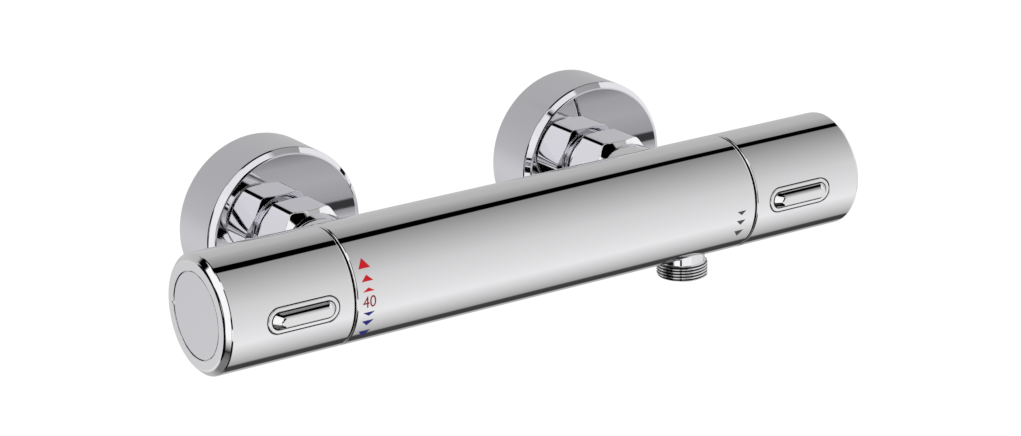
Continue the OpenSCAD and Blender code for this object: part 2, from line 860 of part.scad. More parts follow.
// Stop ring on the end of the body, with the button's stop and the two end stops
module stop_ring(from, to, gate) {
    half = (handle_rib_turn + lug_turn) / 2 + stop_slack;
    tube(stop_ring_r, collar_r + fit, body_end + fit, body_end + stop_plate_t);
    for (at = [180 + from - half, 180 + to + half, gate])
        sector(stop_ring_r - running, lug_r, body_end + stop_plate_t - fit, lug_end, at, lug_turn);
}
module temperature_stop_ring() { color(fibre) along(left) stop_ring(-hot_limit, cold_limit, -safety_at); }
module flow_stop_ring() { color(plastic) along(right) stop_ring(0, open_limit, eco_at); }

// Handle shell with hub, web, cap seat and button opening
module handle() {
    difference() {
        union() {
            difference() {
                turned([[0, handle_start + cut], [shell_r, handle_start], [bar_r - seam_break, handle_start],
                    [bar_r, handle_start + seam_break], [bar_r, handle_end - end_bevel],
                    [bar_r - end_bevel, handle_end], [0, handle_end]]);
                rod(shell_r, handle_start - cut, web_in);
                rod(cap_r - ledge, web_out, handle_end + cut);
                rod(cap_r + cap_gap - cap_sink, cap_seat, handle_end + cut);
            }
            rod(hub_r, hub_in, web_in + cut);
            intersection() {
                rotate([90, 0, 0]) translate([0, button_mid, 0]) rod(spring_boss_r, 0, spring_boss_top);
                rod(bar_r, hub_in, web_in);
            }
            sector(shell_r + cut, lug_r + fit, body_end + stop_plate_t + clear, lug_end, 180, handle_rib_turn);
        }
        rod(bush_r + fit, hub_in - cut, web_in);
        rod(screw_r + fit, web_in - cut, web_out + cut);
        rotate([90, 0, 0]) translate([0, button_mid, shell_r - handle_wall])
            linear_extrude(2 * handle_wall + cut) slot_shape(button_len + 2 * button_gap, button_w + 2 * button_gap);
        translate([0, cap_r + notch_r, handle_end - notch_deep]) cylinder(r = notch_r, h = notch_deep + cut);
    }
}
module temperature_handle() { color(chrome) along(left) handle(); }
module flow_handle() { color(chrome) along(right) handle(); }

// Splined bush in the hub
module spline_bush() {
    difference() {
        rod(bush_r, bush_in, web_in - fit);
        translate([0, 0, bush_in - cut]) linear_extrude(bush_len + 2 * cut) spline_shape(spline_r + fit);
    }
}
module temperature_spline_bush() { color(plastic) along(left) spline_bush(); }
module flow_spline_bush() { color(plastic) along(right) spline_bush(); }

// Handle screw with a hexagon socket
module handle_screw() {
    difference() {
        union() {
            rod(screw_r, web_out - screw_len, web_out + cut);
            rod(screw_head_r, web_out, web_out + screw_head_t);
        }
        translate([0, 0, web_out + screw_head_t / 3]) linear_extrude(screw_head_t) hexagon(screw_socket_af);
    }
}
module temperature_handle_screw() { color(steel) along(left) handle_screw(); }
module flow_handle_screw() { color(steel) along(right) handle_screw(); }

// End cap: a plain disc with a snap ring
module end_cap() {
    skirt_r = cap_r - ledge - fit;
    rod(cap_r - cap_sink, cap_seat, cap_seat + cap_t);
    tube(skirt_r, skirt_r - skirt_t, cap_seat - skirt_len, cap_seat + fit);
}
module temperature_end_cap() { color(chrome) along(left) end_cap(); }
module flow_end_cap() { color(chrome) along(right) end_cap(); }

// Push button: flush plate, inner flange, raised rib, spring spigot and stop finger
module rib_profile() {
    polygon(concat([[0, bar_r - rib_root], [rib_w / 2, bar_r - rib_root]],
        [for (a = [0:15:90]) [rib_w / 2 - rib_round + rib_round * cos(a),
            bar_r + rib_h - rib_round + rib_round * sin(a)]],
        [[0, bar_r + rib_h]]));
}
module rib() {
    half = (rib_len - rib_w) / 2;
    for (s = [-1, 1]) translate([0, s * half, 0]) rotate_extrude() rib_profile();
    rotate([90, 0, 0]) translate([0, 0, -half]) linear_extrude(2 * half) {
        rib_profile();
        mirror([1, 0]) rib_profile();
    }
}
module button() {
    finger_top = button_under_r + finger_t;
    finger_from = lug_end + finger_gap;
    plate_start = button_mid - button_len / 2;
    rotate([90, 0, 0]) translate([0, button_mid, 0]) {
        rib();
        rod(pad_r, button_under_r - pad_deep, button_under_r + button_flange_t);
        rod(spigot_r, button_under_r - pad_deep - spigot_len, button_under_r);
    }
    intersection() {
        rotate([90, 0, 0]) translate([0, button_mid, 0]) linear_extrude(bar_d) slot_shape(button_len, button_w);
        tube(bar_r, button_under_r, handle_start, web_in);
    }
    intersection() {
        rotate([90, 0, 0]) translate([0, button_mid, 0]) linear_extrude(bar_d)
            slot_shape(button_len + 2 * button_lip, button_w + 2 * button_lip);
        tube(button_flange_r, button_under_r, handle_start, web_in);
    }
    intersection() {
        translate([-finger_w / 2, -bar_d, finger_from])
            cube([finger_w, bar_d, plate_start + button_w / 2 - finger_from]);
        tube(finger_top, button_under_r, handle_start, web_in);
    }
}
module temperature_button() { color(chrome) along(left) button(); }
module flow_button() { color(chrome) along(right) button(); }
module button_spring() {
    rotate([90, 0, 0]) translate([0, button_mid, 0]) coil(button_wire, button_coil_r,
        spring_boss_top + running, button_under_r - pad_deep - running, button_turns);
}
module temperature_button_spring() { color(steel) along(left) button_spring(); }
module flow_button_spring() { color(steel) along(right) button_spring(); }

// Flow cartridge housing with side windows
module flow_housing() {
    color(brass) along(right) difference() {
        union() {
            rod(flow_r, flow_end + fit, seat_at + cut);
            rod(flange_d / 2, seat_at, flange_out);
            rod(nose_r, flange_out - cut, nose_end);
        }
        rod(disc_r + fit, flow_end, discs_out + window_gap + window / 4);
        rod(flow_tube_r, flow_end, seat_at);
        rod(head_bore, seat_at - bore_step, bearing_in);
        rod(spindle_r + running, bearing_in - cut, nose_end + cut);
        for (a = [0, 90]) rotate([0, 0, a]) translate([-flow_r - cut, -window / 2, discs_out + window_gap])
            cube([2 * flow_r + 2 * cut, window, window]);
        groove(flow_r, groove_deep, groove_w, seat_at - groove_back);
    }
}
module flow_orings() {
    color(rubber) along(right) {
        oring(flow_socket_r, flow_r - groove_deep, seat_at - groove_back);
        spindle_oring();
    }
}
module disc_seal() {
    color(rubber) along(right) tube(disc_r, disc_port_r, flow_end + fit, flow_end + seal_t + fit);
}
// Ceramic discs with two sector ports each
module disc(z0, z1, at) {
    difference() {
        rod(disc_r, z0, z1);
        for (s = [0, 180]) sector(disc_port_r, disc_core_r, z0 - cut, z1 + cut, at + s, disc_port_turn);
    }
}
module fixed_disc() { color(ceramic) along(right) disc(disc_at, disc_at + disc_t, 0); }
module moving_disc() {
    color(ceramic) along(right) disc(disc_at + disc_t + running, discs_out, open_limit);
}
module flow_spindle() {
    carrier_at = discs_out + fit;
    color(brass) along(right) {
        spindle_outside();
        rod(spindle_neck_r, carrier_at, bearing_in - collar_t + cut);
        rod(flow_tube_r - clear, carrier_at, carrier_at + carrier_t);
        for (s = [0, 180]) sector(dog_out_r, dog_in_r, discs_out - disc_t / 2, carrier_at + carrier_t / 2,
            open_limit + s, dog_turn);
    }
}

valve_body();
outlet_nipple();
outlet_oring();
hot_inlet_nipple();
cold_inlet_nipple();
nipple_orings();
hot_union_nut();
cold_union_nut();
union_washers();
inlet_strainers();
hot_wall_connector();
cold_wall_connector();
hot_escutcheon();
cold_escutcheon();
escutcheon_seals();
escutcheon_grip_rings();
hot_check_cage();
hot_check_poppet();
hot_check_spring();
cold_check_cage();
cold_check_poppet();
cold_check_spring();
thermostat_housing();
thermostat_headpart();
thermostat_retaining_nut();
hot_seat_ring();
thermostat_orings();
adjusting_cup();
overload_spring();
overload_pusher();
cup_clip();
wax_piston();
wax_element();
mixing_slide();
slide_oring();
return_spring();
temperature_spindle();
temperature_spindle_oring();
temperature_stop_ring();
temperature_handle();
temperature_spline_bush();
temperature_handle_screw();
temperature_end_cap();
temperature_button();
temperature_button_spring();
flow_housing();
flow_retaining_nut();
flow_orings();
disc_seal();
fixed_disc();
moving_disc();
flow_spindle();
flow_stop_ring();
flow_handle();
flow_spline_bush();
flow_handle_screw();
flow_end_cap();
flow_button();
flow_button_spring();
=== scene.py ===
"""Exposed bar thermostatic shower valve: two handles with push buttons, wall unions and an outlet below."""
import json
import math

import bpy
from mathutils import Matrix, Vector


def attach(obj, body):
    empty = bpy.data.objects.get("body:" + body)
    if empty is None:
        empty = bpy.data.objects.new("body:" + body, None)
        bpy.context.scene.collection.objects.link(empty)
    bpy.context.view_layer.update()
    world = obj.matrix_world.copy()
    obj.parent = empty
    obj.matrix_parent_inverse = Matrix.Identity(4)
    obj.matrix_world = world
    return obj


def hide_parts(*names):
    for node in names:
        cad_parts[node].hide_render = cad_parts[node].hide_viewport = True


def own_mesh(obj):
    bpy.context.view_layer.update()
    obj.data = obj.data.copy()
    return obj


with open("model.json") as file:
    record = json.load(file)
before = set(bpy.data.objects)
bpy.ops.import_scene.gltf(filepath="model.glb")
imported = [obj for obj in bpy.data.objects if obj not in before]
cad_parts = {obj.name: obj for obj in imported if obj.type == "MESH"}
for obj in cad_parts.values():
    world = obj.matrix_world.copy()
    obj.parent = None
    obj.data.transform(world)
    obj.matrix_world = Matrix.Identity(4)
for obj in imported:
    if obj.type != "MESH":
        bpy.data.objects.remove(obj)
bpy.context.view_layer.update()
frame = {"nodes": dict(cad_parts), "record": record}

MM = 0.001

# Camera
# It stands to the left of the valve and a little above it, with a long lens and a slight tilt.
BAR_Y, BAR_Z = -86.2, 7.5
AZIMUTH, ELEVATION, TILT = math.radians(-33.924), math.radians(18.867), math.radians(-0.845)
VIEW_DISTANCE, AIM_RIGHT, AIM_UP = 1252.6, -7.832, 7.269
back = Vector((math.sin(AZIMUTH) * math.cos(ELEVATION), -math.cos(AZIMUTH) * math.cos(ELEVATION),
               math.sin(ELEVATION)))
level = (-back).cross(Vector((0, 0, 1))).normalized()
upright = level.cross(-back)
side_way = math.cos(TILT) * level + math.sin(TILT) * upright
up_way = math.cos(TILT) * upright - math.sin(TILT) * level
camera = bpy.data.objects.new("camera", bpy.data.cameras.new("camera"))
bpy.context.scene.collection.objects.link(camera)
camera.data.sensor_width, camera.data.lens = 36, 112.04
camera.data.clip_start, camera.data.clip_end = 0.05, 60
turn = Matrix((side_way, up_way, back)).transposed().to_4x4()
spot = Vector((0, BAR_Y, BAR_Z)) + VIEW_DISTANCE * back + AIM_RIGHT * side_way + AIM_UP * up_way
camera.matrix_world = Matrix.Translation(spot * MM) @ turn
bpy.context.scene.camera = camera
bpy.context.scene.view_settings.view_transform = "Standard"


# Floor and daylight
# A plain white floor well below the valve and an even white sky light every colour at its own level.
def adder(tree):
    """A function that adds a node to a tree, with its inputs by name or, as i0 and i1, by number."""
    def add(kind, settings=None, **inputs):
        node = tree.nodes.new(kind)
        for key, value in (settings or {}).items():
            setattr(node, key, value)
        for key, value in inputs.items():
            socket = node.inputs[int(key[1:]) if key[0] == "i" and key[1:].isdigit() else key.replace("_", " ")]
            if isinstance(value, bpy.types.NodeSocket):
                tree.links.new(value, socket)
            else:
                socket.default_value = value
        return node

    return add


def new_material(name):
    """An empty node material and a function that adds nodes to it."""
    material = bpy.data.materials.new(name)
    material.use_nodes = True
    material.node_tree.nodes.clear()
    return material, adder(material.node_tree)


def stage_piece(name, points, faces, material):
    mesh = bpy.data.meshes.new(name)
    mesh.from_pydata(points, [], faces)
    mesh.materials.append(material)
    obj = bpy.data.objects.new(name, mesh)
    bpy.context.scene.collection.objects.link(obj)
    return obj


FLOOR_LEVEL, FLOOR_REACH = -1.6, 40
floor_white, add = new_material("floor_white")
paint = add("ShaderNodeBsdfDiffuse", Color=(0.97, 0.97, 0.97, 1))
lift = add("ShaderNodeEmission", Color=(1, 1, 1, 1), Strength=0.06)
both = add("ShaderNodeAddShader", i0=paint.outputs[0], i1=lift.outputs[0])
add("ShaderNodeOutputMaterial", Surface=both.outputs[0])
corners = [(x * FLOOR_REACH, y * FLOOR_REACH, FLOOR_LEVEL) for x, y in ((-1, -1), (1, -1), (1, 1), (-1, 1))]
stage_piece("floor", corners, [(0, 1, 2, 3)], floor_white)

world = bpy.data.worlds.new("even_sky")
bpy.context.scene.world = world
world.use_nodes = True
world.node_tree.nodes["Background"].inputs["Color"].default_value = (1, 1, 1, 1)
world.node_tree.nodes["Background"].inputs["Strength"].default_value = 1.0

# Light tent
# A long sleeve of grey cloth round the valve with grey discs across its ends and one dark slot above.
# Only the polished metal shows it, so it takes no light from the floor and hides nothing from the camera.
TENT_RADIUS, TENT_HALF_LENGTH, TENT_SIDES = 1.5, 12.0, 96
# Brightness of the cloth, 1 being white, by the degrees round the bar from the front, up being positive. Right of
# the valve a lamp low in front fades to a dimmer top and a grey back, with the dark edge of a table underneath
RIGHT_LIGHT = [(-180, 0.55), (-130, 0.45), (-125, 0.05), (-105, 0.05), (-100, 0.4), (-50, 0.9), (20, 0.7),
               (105, 0.25), (140, 0.5)]
# In the middle the front is dark but for one narrow lamp above
MIDDLE_LIGHT = [(-180, 0.6), (-130, 0.5), (-100, 0.0), (55, 0.0), (57, 1.0), (69, 1.0), (72, 0.0), (130, 0.0),
                (135, 0.5)]
# To the left a wide lamp stands above the dark front
LEFT_LIGHT = [(-180, 0.6), (-140, 0.9), (-120, 0.2), (-90, 0.2), (-65, 0.0), (2, 0.0), (8, 0.9), (30, 1.0),
              (120, 1.0), (124, 0.0), (140, 0.0), (145, 0.5)]
# Past the valve's right end the cloth is nearly white all round
BEYOND_LIGHT = [(-180, 1.0), (-160, 1.0), (-150, 0.55), (-115, 0.55), (-105, 0.8), (50, 0.8), (65, 1.0)]
# Where the middle cloth and the right one begin along the sleeve, in metres: sharply in front and softly behind
MIDDLE_FROM, MIDDLE_FROM_BEHIND = (-0.60, -0.52), (-0.95, -0.05)
RIGHT_FROM, RIGHT_FROM_BEHIND = (0.38, 0.46), (0.45, 0.95)
# Where the cloths past the valve's ends take over: on the right a dark strip above and behind and then white, on the
# left a lamp in front, and further off darkness. The grey discs close the sleeve
STRIP_FROM, WHITE_FROM, LAMP_FROM, DARK_FROM, DISC_FROM = ((1.38, 1.42), (1.55, 1.62), (-1.32, -1.4), (-3.7, -4.0),
                                                           (-11.9, -11.95))
STRIP_TURNS, LAMP_LOW, LAMP_HIGH, NEAR_BLACK = (104, 110), (-75, -50), (124, 120), 0.004
# A white card low in front of the middle: from and to, in degrees round the bar and in metres along the sleeve
CARD_TURNS, CARD_ALONG, CARD_WHITE = (-38, -14), (-1.0, 0.46), 0.95
# The dark slot's middle and half its width, in degrees, at two places along the sleeve, in metres
SLOT_AT, SLOT_MIDDLES, SLOT_HALVES = (0.62, 1.1), (98.8, 108.6), (6.8, 5.6)

tent_cloth, add = new_material("tent_cloth")
place = add("ShaderNodeTexCoord")
xyz = add("ShaderNodeSeparateXYZ", Vector=place.outputs["Object"])
height = add("ShaderNodeMath", {"operation": "SUBTRACT"}, i0=xyz.outputs["Z"], i1=BAR_Z * MM)
depth = add("ShaderNodeMath", {"operation": "SUBTRACT"}, i0=BAR_Y * MM, i1=xyz.outputs["Y"])
angle = add("ShaderNodeMath", {"operation": "ARCTAN2"}, i0=height.outputs[0], i1=depth.outputs[0])
round_share = add("ShaderNodeMapRange", i0=angle.outputs[0], i1=-math.pi, i2=math.pi)
turned_off = add("ShaderNodeMath", {"operation": "ABSOLUTE"}, i0=angle.outputs[0])


def degrees(*values):
    return [math.radians(value) for value in values]


def mapped(value, *limits):
    node = add("ShaderNodeMapRange", i0=value, **{"i%d" % (k + 1): limit for k, limit in enumerate(limits)})
    return node.outputs[0]


def blend(share, first, second):
    """A mix by a share of two brightnesses, each a number or a socket."""
    first, second = [(v, v, v, 1) if isinstance(v, (int, float)) else v for v in (first, second)]
    return add("ShaderNodeMix", {"data_type": "RGBA"}, Factor=share, i6=first, i7=second).outputs[2]


def cloth_light(marks):
    node = add("ShaderNodeValToRGB", Fac=round_share.outputs[0])
    stops = node.color_ramp.elements
    for number, (degrees, value) in enumerate(marks):
        stop = stops[0] if number == 0 else stops.new((degrees + 180) / 360)
        stop.position, stop.color = (degrees + 180) / 360, (value, value, value, 1)
    stops[-1].color = stops[0].color
    return node.outputs["Color"]


at_x = xyz.outputs["X"]
cloth = cloth_light(LEFT_LIGHT)
behind = mapped(turned_off.outputs[0], *degrees(131, 139))
for front_edge, back_edge, light in ((MIDDLE_FROM, MIDDLE_FROM_BEHIND, MIDDLE_LIGHT),
                                     (RIGHT_FROM, RIGHT_FROM_BEHIND, RIGHT_LIGHT)):
    begin, finish = [add("ShaderNodeMapRange", i0=behind, i3=here, i4=there).outputs[0]
                     for here, there in zip(front_edge, back_edge)]
    cloth = blend(mapped(at_x, begin, finish), cloth, cloth_light(light))
(low, high), (left, right) = CARD_TURNS, CARD_ALONG
card = mapped(angle.outputs[0], *degrees(low, low + 3))
for edge in (mapped(angle.outputs[0], *degrees(high, high - 3)), mapped(at_x, left, left + 0.04),
             mapped(at_x, right, right - 0.04)):
    card = add("ShaderNodeMath", {"operation": "MULTIPLY"}, i0=card, i1=edge).outputs[0]
cloth = blend(card, cloth, CARD_WHITE)
slot_middle = mapped(at_x, *SLOT_AT, *degrees(*SLOT_MIDDLES))
slot_half = mapped(at_x, *SLOT_AT, *degrees(*SLOT_HALVES))
from_slot = add("ShaderNodeMath", {"operation": "SUBTRACT"}, i0=angle.outputs[0], i1=slot_middle)
off = add("ShaderNodeMath", {"operation": "ABSOLUTE"}, i0=from_slot.outputs[0])
past = add("ShaderNodeMath", {"operation": "SUBTRACT"}, i0=off.outputs[0], i1=slot_half)
cloth = blend(mapped(past.outputs[0], *degrees(-0.5, 0.5)), 0.0, cloth)
bright = cloth_light(BEYOND_LIGHT)
strip = blend(mapped(turned_off.outputs[0], *degrees(*STRIP_TURNS)), bright, NEAR_BLACK)
cloth = blend(mapped(at_x, *STRIP_FROM), cloth, blend(mapped(at_x, *WHITE_FROM), strip, bright))
in_front = add("ShaderNodeMath", {"operation": "MULTIPLY"}, i0=mapped(angle.outputs[0], *degrees(*LAMP_LOW)),
               i1=mapped(angle.outputs[0], *degrees(*LAMP_HIGH)))
cloth = blend(mapped(at_x, *LAMP_FROM), cloth, blend(in_front.outputs[0], NEAR_BLACK, 1.05))
cloth = blend(mapped(at_x, *DARK_FROM), cloth, NEAR_BLACK)
cloth = blend(mapped(at_x, *DISC_FROM), cloth, 0.55)
glow = add("ShaderNodeEmission", Color=cloth)
add("ShaderNodeOutputMaterial", Surface=glow.outputs[0])
rim = [(TENT_RADIUS * math.cos(2 * math.pi * i / TENT_SIDES), TENT_RADIUS * math.sin(2 * math.pi * i / TENT_SIDES))
       for i in range(TENT_SIDES)]
points = [(x, BAR_Y * MM + a, BAR_Z * MM + b) for x in (-TENT_HALF_LENGTH, TENT_HALF_LENGTH) for a, b in rim]
sides = [(i, (i + 1) % TENT_SIDES, TENT_SIDES + (i + 1) % TENT_SIDES, TENT_SIDES + i) for i in range(TENT_SIDES)]
ends = [list(range(TENT_SIDES)), list(range(TENT_SIDES, 2 * TENT_SIDES))]
tent = stage_piece("light_tent", points, sides + ends, tent_cloth)
tent.visible_camera = tent.visible_diffuse = tent.visible_transmission = tent.visible_shadow = False


# Body
# One chromed brass bar with two bosses at the back, which the inlet nipples enter.
# It is bored from both ends for the cartridges, and its ends carry the stop rings.
def rounded(corners, closed=True, turn_step=15):
    """Corners (radius, height, rounding) to strips of points, each with its outward normals."""
    area = sum(a[0] * b[1] - b[0] * a[1] for a, b in zip(corners, corners[1:] + corners[:1]))
    if area < 0:
        corners = corners[::-1]
    count = len(corners)
    runs = []
    for i, (r, h, ease) in enumerate(corners):
        here = Vector((r, h))
        before, after = Vector(corners[i - 1][:2]), Vector(corners[(i + 1) % count][:2])
        if not closed and i in (0, count - 1):
            runs.append([(here, None)])
            continue
        d0, d1 = (here - before).normalized(), (after - here).normalized()
        bend = d0.cross(d1)
        swing = math.atan2(bend, d0.dot(d1))
        n0 = Vector((d0.y, -d0.x))
        if ease <= 0 or abs(swing) < 0.02:
            runs.append([(here, None)])
            continue
        cut = ease * math.tan(abs(swing) / 2)
        start = here - d0 * cut
        centre = start - n0 * ease * (1 if swing > 0 else -1)
        steps = max(2, math.ceil(abs(math.degrees(swing)) / turn_step))
        arc = []
        for k in range(steps + 1):
            normal = Matrix.Rotation(swing * k / steps, 2) @ n0
            arc.append((centre + normal * ease * (1 if swing > 0 else -1), normal))
        runs.append(arc)
    strips = []
    for i, arc in enumerate(runs):
        for (p, n), (q, m) in zip(arc, arc[1:]):
            strips.append((p, q, n, m))
        if not closed and i == count - 1:
            break
        p, q = arc[-1][0], runs[(i + 1) % count][0][0]
        if (q - p).length > 1e-6:
            d = (q - p).normalized()
            strips.append((p, q, Vector((d.y, -d.x)), Vector((d.y, -d.x))))
    return strips


class Skin:
    """Points, faces and the exact normal at each face's corners, so that polished metal shows no facets."""

    def __init__(self):
        self.points, self.faces, self.corners, self.finish, self.known = [], [], [], [], {}

    def point(self, p):
        key = (round(p.x, 4), round(p.y, 4), round(p.z, 4))
        if key not in self.known:
            self.known[key] = len(self.points)
            self.points.append(p)
        return self.known[key]

    def face(self, ids, normals, finish=0):
        keep = [k for k in range(len(ids)) if ids[k] != ids[k - 1]]
        if len(keep) > 2 and len({ids[k] for k in keep}) == len(keep):
            self.faces.append([ids[k] for k in keep])
            self.corners.append([normals[k] for k in keep])
            self.finish.append(finish)

    def turned(self, strips, angles, place, finishes=None, gaps=()):
        """Turns strips round an axis. gaps are the numbers of strips that something else fills.
        Returns the ring of point numbers at the start and end of each strip."""
        rings = {}

        def ring(p):
            key = (round(p.x, 5), round(p.y, 5))
            if key not in rings:
                if p.x < 1e-6:
                    rings[key] = [self.point(place(0, 0, p.y)[0])] * len(angles)
                else:
                    rings[key] = [self.point(place(p.x, a, p.y)[0]) for a in angles]
            return rings[key]

        out = []
        for number, (p, q, n, m) in enumerate(strips):
            a_ring, b_ring = ring(p), ring(q)
            out.append((a_ring, b_ring))
            if number in gaps:
                continue
            for k in range(len(angles)):
                j = (k + 1) % len(angles)
                ids = (a_ring[k], a_ring[j], b_ring[j], b_ring[k])
                normals = [place(w.x, angles[i], w.y)[1] for w, i in ((n, k), (n, j), (m, j), (m, k))]
                self.face(ids, normals, finishes.get(number, 0) if finishes else 0)
        return out

    def join(self, a_ring, b_ring, finish=0):
        """Faces between two closed rings, each a list of point numbers with their normals."""
        for k in range(len(a_ring)):
            j = (k + 1) % len(a_ring)
            (a, b, c, d), normals = zip(a_ring[k], a_ring[j], b_ring[j], b_ring[k])
            self.face((a, b, c, d), normals, finish)

    def piece(self, name, materials):
        """The finished object, its faces turned outward by their corners' normals."""
        faces, corners = [], []
        for ids, normals in zip(self.faces, self.corners):
            flat = Vector((0, 0, 0))
            pts = [self.points[i] for i in ids]
            for a, b in zip(pts, pts[1:] + pts[:1]):
                flat += a.cross(b)
            mean = sum(normals, Vector((0, 0, 0)))
            if flat.dot(mean) < 0:
                ids, normals = ids[::-1], normals[::-1]
            faces.append(ids)
            corners.extend(n.normalized() for n in normals)
        mesh = bpy.data.meshes.new(name)
        mesh.from_pydata([p * MM for p in self.points], [], faces)
        for material in materials:
            mesh.materials.append(material)
        mesh.polygons.foreach_set("material_index", self.finish)
        mesh.polygons.foreach_set("use_smooth", [True] * len(faces))
        mesh.normals_split_custom_set(corners)
        obj = bpy.data.objects.new(name, mesh)
        bpy.context.scene.collection.objects.link(obj)
        return obj


def along(side):
    """Round the bar: radius, angle from the front with up positive, distance from the middle toward one end."""
    def place(r, a, u):
        s, c = math.sin(a), math.cos(a)
        return Vector((side * u, BAR_Y - r * c, BAR_Z + r * s)), Vector((side * u, -r * c, r * s))
    return place


INLET_AT = 75.0


def toward_wall(side):
    """Round an inlet: radius, angle from the right with up positive, distance from the bar's axis to the wall."""
    def place(r, a, w):
        s, c = math.sin(a), math.cos(a)
        return Vector((side * INLET_AT + r * c, BAR_Y + w, BAR_Z + r * s)), Vector((r * c, w, r * s))
    return place


def turns(count):
    return [2 * math.pi * i / count for i in range(count)]


def plated(name, shade, tint=(1.0, 0.995, 1.012), rough=(0.008, 0.024), grain=1.0):
    """Bright chrome plate: faint clouding, fine polishing haze and an almost flat skin."""
    material, add = new_material(name)
    place = add("ShaderNodeTexCoord").outputs["Object"]
    cloud = add("ShaderNodeTexNoise", Vector=place, Scale=38.0, Detail=4.0, Roughness=0.55)
    haze = add("ShaderNodeTexNoise", Vector=place, Scale=420.0, Detail=6.0, Roughness=0.62)
    skin = add("ShaderNodeTexNoise", Vector=place, Scale=160.0, Detail=2.0)
    colour = add("ShaderNodeValToRGB", Fac=cloud.outputs["Fac"])
    for stop, level in zip(colour.color_ramp.elements, (0.985, 1.0)):
        stop.color = [shade * level * t for t in tint] + [1]
    edge = add("ShaderNodeNewGeometry").outputs["Pointiness"]
    worn = add("ShaderNodeMapRange", Value=edge, From_Min=0.52, From_Max=0.6, To_Min=0.0, To_Max=0.02)
    dull = add("ShaderNodeMapRange", Value=haze.outputs["Fac"], From_Min=0.35, From_Max=0.7,
               To_Min=rough[0], To_Max=rough[1])
    roughness = add("ShaderNodeMath", {"operation": "ADD"}, i0=dull.outputs[0], i1=worn.outputs[0])
    relief = add("ShaderNodeBump", Strength=0.06 * grain, Distance=0.00002, Height=skin.outputs["Fac"])
    shader = add("ShaderNodeBsdfPrincipled", Base_Color=colour.outputs["Color"], Metallic=1.0,
                 Roughness=roughness.outputs[0], Normal=relief.outputs["Normal"])
    add("ShaderNodeOutputMaterial", Surface=shader.outputs[0])
    return material


chrome = plated("polished_chrome", 0.9)
# Near-black plating painted on seam faces, bores and window walls and round the rib's foot: painted shade where gaps
# and hollows fall dark.
painted_shade = plated("painted_shade_plating", 0.03, rough=(0.35, 0.5), grain=4.0)
BAR_R, SEAM_AT, SEAM_HALF = 23.5, 95.0, 0.4
COLLAR_R, COLLAR_END, SOCKET_MOUTH_R = 17.0, 100.4, 14.9
BOSS_R, BOSS_REACH, BOSS_FOOT, BOSS_FILLET = 14.5, 38.0, 17.0, 0.8
BODY_END = SEAM_AT - SEAM_HALF
body_outline = [
    (SOCKET_MOUTH_R, -COLLAR_END, 0.3), (COLLAR_R, -COLLAR_END, 0.3), (COLLAR_R, -BODY_END, 0),
    (BAR_R, -BODY_END, 0.8), (BAR_R, BODY_END, 0.8), (COLLAR_R, BODY_END, 0),
    (COLLAR_R, COLLAR_END, 0.3), (SOCKET_MOUTH_R, COLLAR_END, 0.3), (SOCKET_MOUTH_R, 95.0, 0), (11.0, 95.0, 0),
    (11.0, 61.0, 0), (9.0, 61.0, 0), (9.0, -63.8, 0), (13.5, -63.8, 0), (13.5, -95.0, 0),
    (SOCKET_MOUTH_R, -95.0, 0)]
body = Skin()
body_strips = rounded(body_outline)
# The bar's end faces at the seams and its bores take the near-black plating: painted shade.
body_finish = {k: 1 for k, (p, q, n, m) in enumerate(body_strips)
               if abs(abs(p.y) - BODY_END) < 0.01 and abs(abs(q.y) - BODY_END) < 0.01 or max(p.x, q.x) < 16.5}
body.turned(body_strips, turns(216), along(1), body_finish)
for side in (-1, 1):
    place = toward_wall(side)
    angles = turns(120)
    foot = [body.point(place(BOSS_R, a, BOSS_FOOT)[0]) for a in angles]
    hub = body.point(place(0, 0, BOSS_FOOT)[0])
    down = Vector((0, -1, 0))
    # The floor of each boss's bore is near-black too: painted shade.
    for k in range(len(angles)):
        body.face((hub, foot[k], foot[(k + 1) % len(angles)]), [down] * 3, 1)
    for t in (0, 15, 30, 45, 60, 75, 90):
        c, s = math.cos(math.radians(t)), math.sin(math.radians(t))
        ring = []
        for a in angles:
            r = BOSS_R + BOSS_FILLET * (1 - s)
            rise = r * math.sin(a)
            deep = math.sqrt(BAR_R ** 2 - rise ** 2)
            w = deep + BOSS_FILLET * (1 - c) - (0.02 if t == 0 else 0)
            normal = (c * Vector((0, deep, rise)).normalized() + s * place(1, a, 0)[1]).normalized()
            ring.append((body.point(place(r, a, w)[0]), normal))
        if t == 0:
            previous = [(p, normal) for p, (q, normal) in zip(foot, ring)]
        body.join(previous, ring)
        previous = ring
    top = rounded([(BOSS_R, 30.0, 0), (BOSS_R, BOSS_REACH, 0.5), (10.46, BOSS_REACH, 0.3), (10.46, 30.0, 0),
                   (8.0, 30.0, 0), (8.0, 20.0, 0), (0, 20.0, 0)], closed=False)
    start = body.turned(top, angles, place)[0][0]
    body.join(previous, [(p, place(1, a, 0)[1]) for p, a in zip(start, angles)])
valve_body = body.piece("bar_body", [chrome, painted_shade])
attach(valve_body, "valve")
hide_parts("valve_body")


# Handles
# A chromed cup on each end of the bar, with a hub for its splined bush, a seat for the end cap
# and a round-ended window for the button. A bevel runs round its outer end.
HANDLE_START, HANDLE_END, SHELL_R, END_BEVEL = 95.4, 150.0, 21.0, 2.2
RECESS_R, RECESS_FLOOR, LEDGE_R, WEB_OUT, WEB_IN = 17.15, 147.85, 15.4, 139.0, 136.0
HUB_R, HUB_BORE, HUB_START, SCREW_HOLE = 9.5, 7.6, 115.0, 2.1
BUTTON_AT, BUTTON_LENGTH, BUTTON_WIDTH, WINDOW_GAP, WINDOW_EDGE = 117.4, 30.5, 10.0, 0.35, 0.35
NOTCH_DEEP, NOTCH_WIDE, NOTCH_HALF_TURN = 1.0, 1.2, math.radians(2.6)


def on_front(side, u, z, r):
    """A point on a cylinder of radius r about the bar's axis, u along it and z above it, with its outward normal."""
    y = math.sqrt(max(r * r - z * z, 0.0))
    return Vector((side * u, BAR_Y - y, BAR_Z + z)), Vector((0, -y, z)) / r


